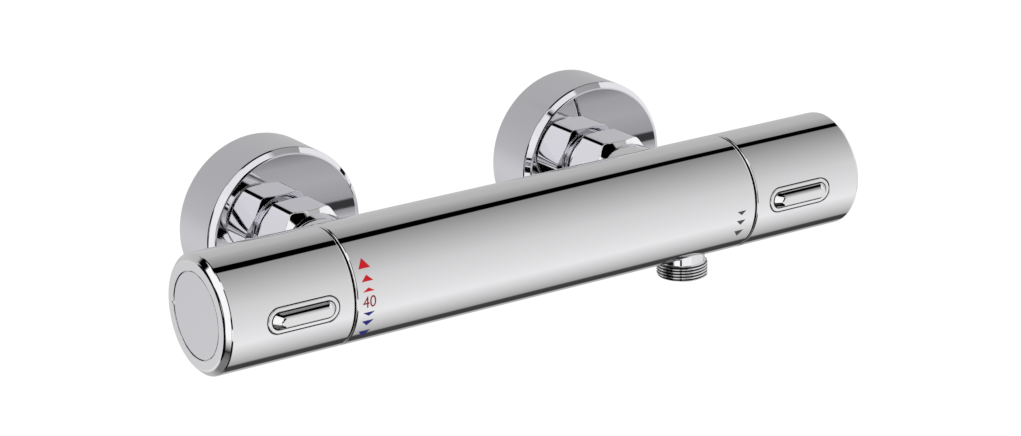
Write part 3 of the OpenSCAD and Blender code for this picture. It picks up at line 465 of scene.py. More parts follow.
def notch_share(a):
    """How far the pry notch behind opens the cap's recess at an angle, 0 to 1."""
    off = abs(math.atan2(math.sin(a - math.pi), math.cos(a - math.pi))) / NOTCH_HALF_TURN
    return max(0.0, 1 - off * off)


handle_corners = [
    (SHELL_R, HANDLE_START, 0.15), (BAR_R, HANDLE_START, 0.6), (BAR_R, HANDLE_END - END_BEVEL, 1.1),
    (BAR_R - END_BEVEL, HANDLE_END, 2.0), (RECESS_R, HANDLE_END, 0.14), (RECESS_R, HANDLE_END - NOTCH_DEEP, 0),
    (RECESS_R, RECESS_FLOOR, 0), (LEDGE_R, RECESS_FLOOR, 0), (LEDGE_R, WEB_OUT, 0), (SCREW_HOLE, WEB_OUT, 0),
    (SCREW_HOLE, WEB_IN, 0), (HUB_BORE, WEB_IN, 0), (HUB_BORE, HUB_START, 0), (HUB_R, HUB_START, 0),
    (HUB_R, WEB_IN, 0), (SHELL_R, WEB_IN, 0)]
handle_strips = rounded(handle_corners)
# The flat end is a darker copy of the chrome, painted shade, brushed a little rougher than the sides
painted_shade_end_chrome = plated("painted_shade_end_chrome", 0.81, tint=(0.99, 0.985, 1.02), rough=(0.02, 0.05))
notch_turns = {math.pi + math.radians(d) for d in (-2.6, -2.2, -1.2, -0.6, 0.6, 1.2, 2.2, 2.6)}
handle_angles = sorted(set(turns(216)) | notch_turns)
window_core = (BUTTON_LENGTH - BUTTON_WIDTH) / 2
window_half = BUTTON_WIDTH / 2 + WINDOW_GAP
patch_reach = window_core + window_half + 2.65
patch_rows = ([-patch_reach + 0.8 * k for k in range(10)]
              + [-window_core + window_core * k / 4 for k in range(9)]
              + [patch_reach - 0.8 * k for k in range(9, -1, -1)])
patch_turns = [k for k in range(len(handle_angles)) if math.cos(handle_angles[k]) > math.cos(math.radians(20.01))]
patch_turns = [k for k in patch_turns if handle_angles[k] > math.pi] + [k for k in patch_turns
                                                                        if handle_angles[k] < math.pi]


def band_with_window(skin, side, r, ends, outside):
    """A straight band of a handle, as a grid with a round-ended window. Returns the window's ring at this radius."""
    place = along(side)
    rows = [ends[0]] + [BUTTON_AT + u for u in patch_rows] + [ends[1]]
    grid = [[skin.point(place(r, a, u)[0]) for a in handle_angles] for u in rows]
    sign = 1 if outside else -1
    normals = [sign * place(1, a, 0)[1] for a in handle_angles]
    inside_patch = set(patch_turns[:-1])
    count = len(handle_angles)
    for i in range(len(rows) - 1):
        for k in range(count):
            if 0 < i < len(rows) - 2 and k in inside_patch:
                continue
            j = (k + 1) % count
            skin.face((grid[i][k], grid[i][j], grid[i + 1][j], grid[i + 1][k]),
                      (normals[k], normals[j], normals[j], normals[k]))
    border = ([(1, k) for k in patch_turns] + [(i, patch_turns[-1]) for i in range(2, len(rows) - 2)]
              + [(len(rows) - 2, k) for k in patch_turns[::-1]]
              + [(i, patch_turns[0]) for i in range(len(rows) - 3, 1, -1)])
    spokes = []
    for i, k in border:
        u, z = rows[i] - BUTTON_AT, BAR_R * math.sin(handle_angles[k])
        core = max(-window_core, min(window_core, u))
        spoke = Vector((u - core, z)).normalized()
        spokes.append((core, spoke))
    steps = [(WINDOW_EDGE * (1 - math.sin(t)), WINDOW_EDGE * (1 - math.cos(t)), t)
             for t in (0, math.pi / 6, math.pi / 3, math.pi / 2)] if outside else [(0, 0, 0)]
    previous = [(grid[i][k], normals[k]) for i, k in border]
    for wide, sunk, t in steps:
        ring = []
        for core, spoke in spokes:
            reach = window_half + wide
            p, out = on_front(side, BUTTON_AT + core + spoke.x * reach, spoke.y * reach, r - sunk)
            wall = Vector((-side * spoke.x, 0, -spoke.y))
            ring.append((skin.point(p), (sign * math.cos(t) * out + math.sin(t) * wall).normalized()))
        skin.join(previous, ring)
        previous = ring
    return [p for p, n in previous], spokes


for side, who in ((-1, "temperature"), (1, "flow")):
    skin = Skin()
    plain = along(side)

    def with_notch(r, a, u):
        spot, normal = plain(r, a, u)
        if abs(r - RECESS_R) < 0.2 and u > HANDLE_END - NOTCH_DEEP + 1e-6:
            spot = plain(r + NOTCH_WIDE * notch_share(a), a, u)[0]
        return spot, normal

    outer = next(k for k, (p, q, n, m) in enumerate(handle_strips)
                 if abs(p.x - BAR_R) < 1e-4 and abs(q.x - BAR_R) < 1e-4 and abs(p.y - q.y) > 30)
    inner = next(k for k, (p, q, n, m) in enumerate(handle_strips)
                 if abs(p.x - SHELL_R) < 1e-4 and abs(q.x - SHELL_R) < 1e-4 and abs(p.y - q.y) > 30)
    # The handle's inner faces and its face at the seam take the near-black plating: painted shade.
    finishes = {k: 1 for k, (p, q, n, m) in enumerate(handle_strips)
                if max(p.x, q.x) < 15.5 or k == inner or max(abs(p.y - HANDLE_START), abs(q.y - HANDLE_START)) < 1e-4}
    finishes.update({k: 2 for k, (p, q, n, m) in enumerate(handle_strips) if min(p.y, q.y) > HANDLE_END - 1e-4})
    skin.turned(handle_strips, handle_angles, with_notch, finishes, gaps=(outer, inner))
    low, high = sorted((handle_strips[outer][0].y, handle_strips[outer][1].y))
    window_top, spokes = band_with_window(skin, side, BAR_R, (low, high), True)
    low, high = sorted((handle_strips[inner][0].y, handle_strips[inner][1].y))
    window_foot = band_with_window(skin, side, SHELL_R, (low, high), False)[0]
    walls = [Vector((-side * spoke.x, 0, -spoke.y)) for core, spoke in spokes]
    # The window's walls are near-black: painted shade round the button.
    skin.join(list(zip(window_top, walls)), list(zip(window_foot, walls)), 1)

    def notch_floor(r, a, u):
        reach = NOTCH_WIDE * notch_share(a) if r > RECESS_R + 0.005 else 0
        return plain(RECESS_R + reach, a, u)[0], plain(0, a, 1)[1]

    floor_at = HANDLE_END - NOTCH_DEEP
    skin.turned([(Vector((RECESS_R, floor_at)), Vector((RECESS_R + 0.01, floor_at)), Vector((0, 1)), Vector((0, 1)))],
                handle_angles, notch_floor)
    handle = skin.piece(who + "_handle_shell", [chrome, painted_shade, painted_shade_end_chrome])
    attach(handle, who + "_handle")
    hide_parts(who + "_handle")


# Push buttons
# A chromed die-cast button in each handle's window: a plate flush with the handle, a raised rib to press,
# and inside a flange that keeps it in, a spigot for its spring and the stop finger.
FLANGE_R, UNDER_R, FLANGE_LIP = 20.7, 19.6, 1.1
RIB_LENGTH, RIB_WIDTH, RIB_HEIGHT, RIB_ROUND, RIB_FOOT, RIB_LEAN, RIB_END_LEAN = 27.0, 6.4, 3.0, 1.2, 0.7, 1.3, 2.6
RIB_BOW = math.radians(4.2)  # the rib's top edge is worn soft, which only its normals show
PAD_R, PAD_FOOT, SPIGOT_R, SPIGOT_FOOT = 4.0, 19.0, 2.1, 16.4
FINGER_FROM, FINGER_TO, FINGER_HALF = 98.6, 107.15, 1.1


def round_ended(core, arc_steps, straight_steps):
    """Spokes all round a round-ended shape: where each starts on its middle line, and its direction."""
    spokes = []
    for end in (1, -1):
        for k in range(arc_steps + 1):
            turn_by = math.pi * (k / arc_steps - 0.5)
            spokes.append((end * core, Vector((end * math.cos(turn_by), end * math.sin(turn_by)))))
        spokes += [(end * core * (1 - 2 * k / straight_steps), Vector((0, end))) for k in range(1, straight_steps)]
    return spokes


def turned_front(skin, side, strips, u, count):
    """Turns strips about the button's own axis, which points to the front."""
    def place(r, a, h):
        out = Vector((math.cos(a), 0, math.sin(a)))
        return Vector((side * u, BAR_Y - h, BAR_Z)) + r * out, r * out + Vector((0, -h, 0))
    skin.turned(strips, turns(count), place)


for side, who in ((-1, "temperature"), (1, "flow")):
    skin = Skin()
    core = (BUTTON_LENGTH - BUTTON_WIDTH) / 2
    spokes = round_ended(core, 28, 8)
    half, rib_half = BUTTON_WIDTH / 2, RIB_WIDTH / 2
    rib_share = (RIB_LENGTH - RIB_WIDTH) / 2 / core
    rib_top = BAR_R + RIB_HEIGHT
    # Each ring: reach from the middle line, radius or height, share along the spoke and outward, middle line's share
    rings = [("r", 0, UNDER_R, 0, -1, 1), ("r", half + FLANGE_LIP, UNDER_R, 0, -1, 1),
             ("r", half + FLANGE_LIP, UNDER_R, 1, 0, 1), ("r", half + FLANGE_LIP, FLANGE_R, 1, 0, 1),
             ("r", half + FLANGE_LIP, FLANGE_R, 0, 1, 1), ("r", half, FLANGE_R, 0, 1, 1),
             ("r", half, FLANGE_R, 1, 0, 1)]
    for t in (0, 30, 60, 90):
        s, c = math.sin(math.radians(t)), math.cos(math.radians(t))
        rings.append(("r", half - 0.35 * (1 - c), BAR_R - 0.35 * (1 - s), c, s, 1))
    # The rib's sides lean in a little and its ends more; each spoke has its own slope
    slopes = [math.atan2(RIB_HEIGHT, RIB_LEAN + (RIB_END_LEAN - RIB_LEAN) * spoke.x ** 2) for at, spoke in spokes]
    top_share = rib_share - (RIB_END_LEAN - RIB_LEAN) / core
    rings += [("foot", k / 4, BAR_R, 0, 0, rib_share) for k in range(5)]
    rings += [("top", 1 - k / 9, rib_top, 0, 0, top_share) for k in range(10)]
    rings.append(("h", 0, rib_top, 0, 1, top_share))
    made = []
    for kind, reach, level_at, outward, upward, middle in rings:
        ring = []
        for (at, spoke), slope in zip(spokes, slopes):
            form, out_to, level = kind, reach, level_at
            if kind in ("foot", "top"):
                t = slope * reach
                bowed = t - (RIB_BOW * reach if kind == "top" else 0)
                outward, upward = math.sin(bowed), math.cos(bowed)
            if kind == "foot":
                form, level = "r", level_at + RIB_FOOT * (1 - math.cos(t))
                out_to = rib_half + RIB_FOOT * (math.tan(slope / 2) - math.sin(t))
            elif kind == "top":
                form, level = "h", level_at - RIB_ROUND * (1 - math.cos(t))
                out_to = rib_half - RIB_LEAN - RIB_ROUND * (math.tan(slope / 2) - math.sin(t))
            u, z = BUTTON_AT + at * middle + spoke.x * out_to, spoke.y * out_to
            if form == "r":
                p, out = on_front(side, u, z, level)
            else:
                p, out = Vector((side * u, BAR_Y - level, BAR_Z + z)), Vector((0, -1, 0))
            sideways = Vector((side * spoke.x, 0, spoke.y))
            ring.append((skin.point(p), (outward * sideways + upward * out).normalized()))
        made.append(ring)
    # A near-black line is painted round the rib's foot: painted shade where the rib meets the plate
    line_at = [ring[0] for ring in rings].index("foot")
    for number, (a_ring, b_ring) in enumerate(zip(made, made[1:])):
        skin.join(a_ring, b_ring, int(line_at <= number < line_at + 3))
    turned_front(skin, side, rounded([(0, PAD_FOOT, 0), (PAD_R, PAD_FOOT, 0.2), (PAD_R, UNDER_R + 0.3, 0),
                                      (0, UNDER_R + 0.3, 0)], closed=False), BUTTON_AT, 48)
    turned_front(skin, side, rounded([(0, SPIGOT_FOOT, 0), (SPIGOT_R, SPIGOT_FOOT, 0.4), (SPIGOT_R, PAD_FOOT + 0.3, 0),
                                      (0, PAD_FOOT + 0.3, 0)], closed=False), BUTTON_AT, 32)
    ends = [on_front(side, u, z, r)[0] for u in (FINGER_FROM, FINGER_TO) for z in (-FINGER_HALF, FINGER_HALF)
            for r in (UNDER_R, FLANGE_R)]
    middle_of = sum(ends, Vector((0, 0, 0))) / 8
    for ids in ((0, 1, 3, 2), (4, 5, 7, 6), (0, 1, 5, 4), (2, 3, 7, 6), (0, 2, 6, 4), (1, 3, 7, 5)):
        pts = [ends[i] for i in ids]
        flat = (pts[1] - pts[0]).cross(pts[2] - pts[0]).normalized()
        if flat.dot(pts[0] - middle_of) < 0:
            flat = -flat
        skin.face([skin.point(q) for q in pts], [flat] * 4)
    button = skin.piece(who + "_push_button", [chrome, painted_shade])
    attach(button, who + "_button")
    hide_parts(who + "_button")


# End caps
# A plain chromed disc in each handle's end, held by a snap ring behind it; it covers the handle screw.
CAP_R, CAP_FACE, CAP_BACK = 16.85, 149.85, 147.85
SKIRT_OUT, SKIRT_IN, SKIRT_END = 15.3, 14.0, 143.85
# The disc is a darker copy of the chrome, painted shade, a little rougher than the handle.
painted_shade_cap_metal = plated("painted_shade_cap_chrome", 0.75, tint=(0.99, 0.985, 1.03), rough=(0.03, 0.06))
for side, who in ((-1, "temperature"), (1, "flow")):
    skin = Skin()
    skin.turned(rounded([(0, CAP_FACE, 0), (CAP_R, CAP_FACE, 0.3), (CAP_R, CAP_BACK, 0), (SKIRT_OUT, CAP_BACK, 0),
                         (SKIRT_OUT, SKIRT_END, 0.3), (SKIRT_IN, SKIRT_END, 0.3), (SKIRT_IN, CAP_BACK, 0),
                         (0, CAP_BACK, 0)], closed=False), turns(180), along(side))
    cap = skin.piece(who + "_cap_disc", [painted_shade_cap_metal])
    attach(cap, who + "_handle")
    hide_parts(who + "_end_cap")


# Escutcheons
# A deep cup drawn from chromed sheet, open toward the wall, with a bevelled front and a hole for the union.
ESC_HOLE, ESC_FRONT, ESC_R, ESC_BEVEL, ESC_WALL, WALL_AT = 13.62, 61.2, 34.75, 2.3, 1.4, 86.2
# The cup is a darker, lavender copy of the chrome: its darkness is painted shade.
painted_shade_sheet_chrome = plated("painted_shade_sheet_chrome", 0.78, tint=(0.985, 0.98, 1.03), rough=(0.02, 0.05))
for side, who in ((-1, "hot"), (1, "cold")):
    skin = Skin()
    inside = ESC_R - ESC_WALL
    skin.turned(rounded([(ESC_HOLE, ESC_FRONT, 0.4), (ESC_R - ESC_BEVEL, ESC_FRONT, 1.3),
                         (ESC_R, ESC_FRONT + ESC_BEVEL, 1.3), (ESC_R, WALL_AT, 0.1), (inside, WALL_AT, 0.1),
                         (inside, ESC_FRONT + ESC_BEVEL + 0.7, 0.4), (inside - 1.6, ESC_FRONT + ESC_WALL, 0.4),
                         (ESC_HOLE, ESC_FRONT + ESC_WALL, 0.3)]), turns(216), toward_wall(side))
    cup = skin.piece(who + "_escutcheon_cup", [painted_shade_sheet_chrome])
    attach(cup, "valve")
    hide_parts(who + "_escutcheon")


# Union nuts
# A chromed hexagon nut on each inlet, turned down to a cone at both ends, with two of its flats level.
NUT_AF, NUT_START, NUT_END, NUT_FACE_R, NUT_REAR_R = 30.0, 40.0, 58.0, 13.4, 14.6
NUT_CONE, NUT_REAR_CONE, NUT_HOLE, NUT_BORE, NUT_SHOULDER = 3.6, 1.6, 10.46, 13.32, 46.1
nut_rows = ([NUT_START + NUT_CONE * 1.1 * k / 22 for k in range(23)] + [47.0, 51.0, 54.0]
            + [NUT_END - NUT_REAR_CONE * 1.3 * k / 14 for k in range(14, -1, -1)])
nut_turns = turns(216)


def nut_radius(a, w):
    """A hexagon with slightly worn corners, cut by the two end cones."""
    flats = sum(max(math.cos(a - math.radians(30 + 60 * k)), 0) ** 22 for k in range(6))
    hexagon = NUT_AF / 2 * flats ** (-1 / 22)
    corner = NUT_AF / 2 / math.cos(math.radians(30)) + 0.5
    front = NUT_FACE_R + (corner - NUT_FACE_R) * (w - NUT_START) / NUT_CONE
    rear = NUT_REAR_R + (corner - NUT_REAR_R) * (NUT_END - w) / NUT_REAR_CONE
    return (hexagon ** -220 + front ** -220 + rear ** -220) ** (-1 / 220)


for side, who in ((-1, "hot"), (1, "cold")):
    skin = Skin()
    place = toward_wall(side)
    rings = []
    for w in nut_rows:
        ring = []
        for a in nut_turns:
            here, left, right, fore, aft = [place(nut_radius(b, v), b, v)[0] for b, v in (
                (a, w), (a - 0.002, w), (a + 0.002, w), (a, w + 0.05), (a, w - 0.05))]
            round_way, long_way = right - left, fore - aft
            normal = long_way.cross(round_way).normalized()
            if normal.dot(place(1, a, 0)[1]) < 0:
                normal = -normal
            ring.append((skin.point(here), normal))
        rings.append(ring)
    for a_ring, b_ring in zip(rings, rings[1:]):
        skin.join(a_ring, b_ring)
    for ring, w, hole, way in ((rings[0], NUT_START, NUT_HOLE, -1), (rings[-1], NUT_END, NUT_BORE, 1)):
        flat = Vector((0, way, 0))
        edge = [(skin.point(place(hole, a, w)[0]), flat) for a in nut_turns]
        skin.join([(p, flat) for p, normal in ring], edge)
    skin.turned([(Vector((a, b)), Vector((c, d)), Vector(n), Vector(n)) for a, b, c, d, n in (
        (NUT_HOLE, NUT_START, NUT_HOLE, NUT_SHOULDER, (-1, 0)),
        (NUT_HOLE, NUT_SHOULDER, NUT_BORE, NUT_SHOULDER, (0, 1)),
        (NUT_BORE, NUT_SHOULDER, NUT_BORE, NUT_END, (-1, 0)))], nut_turns, place)
    nut = skin.piece(who + "_nut", [chrome])
    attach(nut, who + "_union_nut")
    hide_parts(who + "_union_nut")


# Wall connectors
# Behind each nut a chromed brass connector runs to the wall: a union thread, an offset round-ended cheek
# to turn it by, and the wall thread. Both threads are cut as true spirals.
def new_group(name, wanted):
    """A geometry node group. wanted gives each input's name and its value, or its kind in words. Returns its adder,
    a function for sums, its inputs by name, and the function that paints and hands out the geometry."""
    tree = bpy.data.node_groups.new(name, "GeometryNodeTree")
    for label, value in wanted.items():
        kind = value if isinstance(value, str) else "Int" if isinstance(value, int) else "Float"
        socket = tree.interface.new_socket(name=label, in_out="INPUT", socket_type="NodeSocket" + kind)
        if not isinstance(value, str):
            socket.default_value = value
    tree.interface.new_socket(name="Geometry", in_out="OUTPUT", socket_type="NodeSocketGeometry")
    add = adder(tree)

    def sums(kind, *values):
        return add("ShaderNodeMath", {"operation": kind}, **{"i%d" % k: v for k, v in enumerate(values)}).outputs[0]

    def finish(geometry, paint):
        smooth = add("GeometryNodeSetShadeSmooth", Geometry=geometry)
        real = add("GeometryNodeRealizeInstances", i0=smooth.outputs[0])
        painted = add("GeometryNodeSetMaterial", Geometry=real.outputs[0], Material=paint)
        add("NodeGroupOutput", i0=painted.outputs[0])
        return tree

    return add, sums, {socket.name: socket for socket in add("NodeGroupInput").outputs}, finish


def thread_tree():
    """Geometry nodes that cut a spiral thread into a rod along Z, fading out at both ends."""
    add, sums, made, finish = new_group("thread", {
        "Radius": 0.01, "Depth": 0.0007, "Pitch": 0.0018, "Start": 0.0, "Length": 0.01, "Fade": 0.001,
        "Sides": 96, "Rows": 200, "Metal": "Material"})
    grid = add("GeometryNodeMeshGrid", Size_X=1.0, Size_Y=1.0, Vertices_X=sums("ADD", made["Sides"], 1),
               Vertices_Y=made["Rows"])
    place = add("ShaderNodeSeparateXYZ", i0=add("GeometryNodeInputPosition").outputs[0])
    round_share = sums("ADD", place.outputs["X"], 0.5)
    down = sums("MULTIPLY", sums("ADD", place.outputs["Y"], 0.5), made["Length"])
    turned_by = sums("SUBTRACT", sums("ADD", sums("DIVIDE", down, made["Pitch"]), 50), round_share)
    slope = sums("SUBTRACT", 1, sums("ABSOLUTE", sums("SUBTRACT", sums("MULTIPLY", sums("FRACT", turned_by), 2), 1)))
    ridge = add("ShaderNodeClamp", i0=sums("SUBTRACT", sums("MULTIPLY", slope, 1.7), 0.28))
    near_end = sums("MINIMUM", down, sums("SUBTRACT", made["Length"], down))
    fade = add("ShaderNodeClamp", i0=sums("DIVIDE", near_end, made["Fade"]))
    cut = sums("SUBTRACT", 1, sums("MULTIPLY", ridge.outputs[0], fade.outputs[0]))
    radius = sums("SUBTRACT", made["Radius"], sums("MULTIPLY", made["Depth"], cut))
    angle = sums("MULTIPLY", round_share, 2 * math.pi)
    spot = add("ShaderNodeCombineXYZ", X=sums("MULTIPLY", radius, sums("COSINE", angle)),
               Y=sums("MULTIPLY", radius, sums("SINE", angle)), Z=sums("ADD", made["Start"], down))
    moved = add("GeometryNodeSetPosition", Geometry=grid.outputs["Mesh"], Position=spot.outputs[0])
    joined = add("GeometryNodeMergeByDistance", Geometry=moved.outputs[0], Distance=0.000001)
    return finish(joined.outputs[0], made["Metal"])


def grown(tree, name, settings, base=None):
    """Runs a node tree on an empty or given mesh and returns the mesh it makes."""
    holder = bpy.data.objects.new(name + "_maker", base or bpy.data.meshes.new(name + "_maker"))
    bpy.context.scene.collection.objects.link(holder)
    modifier = holder.modifiers.new("maker", "NODES")
    modifier.node_group = tree
    for item in tree.interface.items_tree:
        if item.in_out == "INPUT" and item.name in settings:
            modifier[item.identifier] = settings[item.name]
    holder.update_tag()
    depsgraph = bpy.context.evaluated_depsgraph_get()
    mesh = bpy.data.meshes.new_from_object(holder.evaluated_get(depsgraph))
    holder.modifiers.remove(modifier)
    bpy.data.objects.remove(holder)
    return mesh


def put(mesh, name, matrix):
    """An object at the origin whose mesh carries its place, turned back outward if the matrix mirrors it."""
    mesh.transform(matrix)
    if matrix.determinant() < 0:
        mesh.flip_normals()
    obj = bpy.data.objects.new(name, mesh)
    bpy.context.scene.collection.objects.link(obj)
    return obj


def wall_frame(side, rise=0.0):
    """From a frame whose Z runs toward the wall, with X to the right, to the valve's own."""
    turn_to = Matrix(((1, 0, 0), (0, 0, 1), (0, -1, 0))).to_4x4()
    return Matrix.Translation(Vector((side * INLET_AT, BAR_Y, BAR_Z + rise)) * MM) @ turn_to


threads = thread_tree()
UNION_R, UNION_FROM, UNION_TO, THREAD_DEEP, PITCH = 13.22, 51.7, 60.9, 0.75, 1.814
CHEEK_FROM, CHEEK_TO, CHEEK_R, WALL_DROP, UNION_BORE, WALL_BORE = 66.0, 73.0, 14.2, 7.5, 9.2, 7.6
WALL_THREAD_R, WALL_FROM, WALL_TO, CHEEK_MIDDLE = 10.4775, 74.8, 101.2, 69.5
for side, who in ((-1, "hot"), (1, "cold")):
    skin = Skin()
    place = toward_wall(side)
    root = UNION_R - THREAD_DEEP
    skin.turned(rounded([(UNION_BORE, UNION_FROM, 0.3), (root, UNION_FROM, 0), (root, UNION_TO, 0),
                         (UNION_R, UNION_TO, 0.2), (UNION_R, CHEEK_FROM + 0.2, 0),
                         (UNION_BORE, CHEEK_FROM + 0.2, 0)]), turns(120), place)

    def lower(r, a, w):
        spot, normal = place(r, a, w)
        return spot - Vector((0, 0, WALL_DROP)), normal

    neck = WALL_THREAD_R - THREAD_DEEP
    skin.turned(rounded([(WALL_BORE, CHEEK_TO - 0.2, 0), (neck, CHEEK_TO - 0.2, 0), (neck, WALL_TO, 0.4),
                         (WALL_BORE, WALL_TO, 0.3)]), turns(96), lower)
    spokes = [(at, Vector((spoke.y, -spoke.x))) for at, spoke in round_ended(WALL_DROP / 2, 32, 2)]
    rings = []
    for reach, w, outward, along_way in ((UNION_BORE, CHEEK_FROM, 0, -1), (CHEEK_R - 0.4, CHEEK_FROM, 0, -1),
                                         (CHEEK_R - 0.12, CHEEK_FROM + 0.12, 1, -1), (CHEEK_R, CHEEK_FROM + 0.4, 1, 0),
                                         (CHEEK_R, CHEEK_TO - 0.4, 1, 0), (CHEEK_R - 0.12, CHEEK_TO - 0.12, 1, 1),
                                         (CHEEK_R - 0.4, CHEEK_TO, 0, 1), (WALL_BORE, CHEEK_TO, 0, 1)):
        ring = []
        for at, spoke in spokes:
            middle = -WALL_DROP / 2 - at
            if reach < CHEEK_R - 1:
                middle = 0 if w == CHEEK_FROM else -WALL_DROP
            spot = Vector((side * INLET_AT + spoke.x * reach, BAR_Y + w, BAR_Z + middle + spoke.y * reach))
            normal = (outward * Vector((spoke.x, 0, spoke.y)) + Vector((0, along_way, 0))).normalized()
            ring.append((skin.point(spot), normal))
        rings.append(ring)
    for a_ring, b_ring in zip(rings, rings[1:]):
        skin.join(a_ring, b_ring)
    # The bores are lined with the near-black plating: painted shade.
    for bore, start, end, sides, where in ((UNION_BORE, CHEEK_FROM, CHEEK_MIDDLE, 120, place),
                                           (WALL_BORE, CHEEK_MIDDLE, CHEEK_TO, 96, lower)):
        skin.turned([(Vector((bore, start)), Vector((bore, end)), Vector((-1, 0)), Vector((-1, 0)))], turns(sides),
                    where, {0: 1})
    connector = skin.piece(who + "_connector_body", [chrome, painted_shade])
    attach(connector, "valve")
    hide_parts(who + "_wall_connector")
    for part, r, start, end, drop in (("union_thread", UNION_R, UNION_FROM, UNION_TO, 0),
                                      ("wall_thread", WALL_THREAD_R, WALL_FROM, WALL_TO, -WALL_DROP)):
        rows = int((end - start) / PITCH * 16) + 1
        mesh = grown(threads, part, {"Radius": r * MM, "Depth": (THREAD_DEEP - 0.02) * MM, "Pitch": PITCH * MM,
                                     "Start": start * MM, "Length": (end - start) * MM, "Fade": 1.2 * MM,
                                     "Sides": 96, "Rows": rows, "Metal": chrome})
        spiral = put(mesh, who + "_" + part, wall_frame(side, drop))
        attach(spiral, "valve")


# Inlet nipples
# A brass tube pressed into each boss, chromed where it shows, with a flange that the union nut pulls on.
NIPPLE_R, NIPPLE_BORE, NIPPLE_FROM, NIPPLE_TO, FLANGE_FROM, NIPPLE_FLANGE = 10.4, 8.5, 30.1, 49.5, 46.3, 12.52
NIPPLE_GROOVE_R, NIPPLE_GROOVE_FROM, NIPPLE_GROOVE_TO = 9.2, 34.5, 36.1
for side, who in ((-1, "hot"), (1, "cold")):
    skin = Skin()
    skin.turned(rounded([(NIPPLE_BORE, NIPPLE_FROM, 0.2), (NIPPLE_R, NIPPLE_FROM, 0.4),
                         (NIPPLE_R, NIPPLE_GROOVE_FROM, 0), (NIPPLE_GROOVE_R, NIPPLE_GROOVE_FROM, 0),
                         (NIPPLE_GROOVE_R, NIPPLE_GROOVE_TO, 0), (NIPPLE_R, NIPPLE_GROOVE_TO, 0),
                         (NIPPLE_R, FLANGE_FROM, 0.2),
                         (NIPPLE_FLANGE, FLANGE_FROM, 0.2), (NIPPLE_FLANGE, NIPPLE_TO, 0.2),
                         (NIPPLE_BORE, NIPPLE_TO, 0.2)]), turns(96), toward_wall(side))
    nipple = skin.piece(who + "_nipple_tube", [chrome])
    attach(nipple, "valve")
    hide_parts(who + "_inlet_nipple")


# Outlet nipple
# A chromed nipple screwed into the body from below; the shower hose's nut goes on its fine thread.
OUTLET_NECK_R, OUTLET_R, OUTLET_BORE, OUTLET_ROOT = 9.18, 10.4775, 7.3, 15.6
OUTLET_THREAD_AT, OUTLET_END, THREAD_CUT = 25.4, 31.6, 0.55
OUTLET_GROOVE_R, OUTLET_GROOVE_FROM, OUTLET_GROOVE_TO = 8.0, 17.5, 19.1


def downward(r, a, h):
    s, c = math.sin(a), math.cos(a)
    return Vector((INLET_AT + r * c, BAR_Y + r * s, BAR_Z - h)), Vector((r * c, r * s, -h))


outlet_root_r = OUTLET_R - THREAD_CUT
skin = Skin()
skin.turned(rounded([(OUTLET_BORE, OUTLET_ROOT, 0.2), (OUTLET_NECK_R, OUTLET_ROOT, 0.3),
                     (OUTLET_NECK_R, OUTLET_GROOVE_FROM, 0), (OUTLET_GROOVE_R, OUTLET_GROOVE_FROM, 0),
                     (OUTLET_GROOVE_R, OUTLET_GROOVE_TO, 0), (OUTLET_NECK_R, OUTLET_GROOVE_TO, 0),
                     (OUTLET_NECK_R, OUTLET_THREAD_AT, 0.25), (outlet_root_r, OUTLET_THREAD_AT, 0.25),
                     (outlet_root_r, OUTLET_END, 0.35), (OUTLET_BORE, OUTLET_END, 0.35)]), turns(144), downward)
nipple = skin.piece("outlet_nipple_tube", [chrome])
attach(nipple, "valve")
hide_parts("outlet_nipple")
# Toward the roots of this thread the colour goes near-black
grooved, add = new_material("outlet_thread_chrome")
place = add("ShaderNodeTexCoord").outputs["Object"]
spot = add("ShaderNodeSeparateXYZ", Vector=place)
across = add("ShaderNodeMath", {"operation": "SUBTRACT"}, i0=spot.outputs["X"], i1=INLET_AT * MM)
deep = add("ShaderNodeMath", {"operation": "SUBTRACT"}, i0=spot.outputs["Y"], i1=BAR_Y * MM)
flat = add("ShaderNodeCombineXYZ", X=across.outputs[0], Y=deep.outputs[0])
reach = add("ShaderNodeVectorMath", {"operation": "LENGTH"}, i0=flat.outputs[0])
rootward_dark = add("ShaderNodeMapRange", i0=reach.outputs["Value"], i1=(OUTLET_R - 0.36) * MM, i2=(OUTLET_R - 0.1) * MM)
worn = add("ShaderNodeTexNoise", Vector=place, Scale=420.0, Detail=5.0)
colour = add("ShaderNodeMix", {"data_type": "RGBA"}, Factor=rootward_dark.outputs[0], i6=(0.03, 0.03, 0.032, 1),
             i7=(0.86, 0.855, 0.87, 1))
haze = add("ShaderNodeMapRange", i0=worn.outputs["Fac"], i1=0.3, i2=0.7, i3=0.02, i4=0.09)
relief = add("ShaderNodeBump", Strength=0.08, Distance=0.00002, Height=worn.outputs["Fac"])
shader = add("ShaderNodeBsdfPrincipled", Base_Color=colour.outputs[2], Metallic=1.0, Roughness=haze.outputs[0],
             Normal=relief.outputs["Normal"])
add("ShaderNodeOutputMaterial", Surface=shader.outputs[0])
mesh = grown(threads, "outlet_thread", {"Radius": OUTLET_R * MM, "Depth": 0.54 * MM, "Pitch": 1.24 * MM,
                                        "Start": (OUTLET_THREAD_AT + 0.05) * MM,
                                        "Length": (OUTLET_END - OUTLET_THREAD_AT - 0.1) * MM, "Fade": 0.25 * MM,
                                        "Sides": 144, "Rows": 100, "Metal": grooved})
down_frame = Matrix.Translation(Vector((INLET_AT, BAR_Y, BAR_Z)) * MM) @ Matrix.Rotation(math.pi, 4, "X")
spiral = put(mesh, "outlet_thread", down_frame)
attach(spiral, "valve")


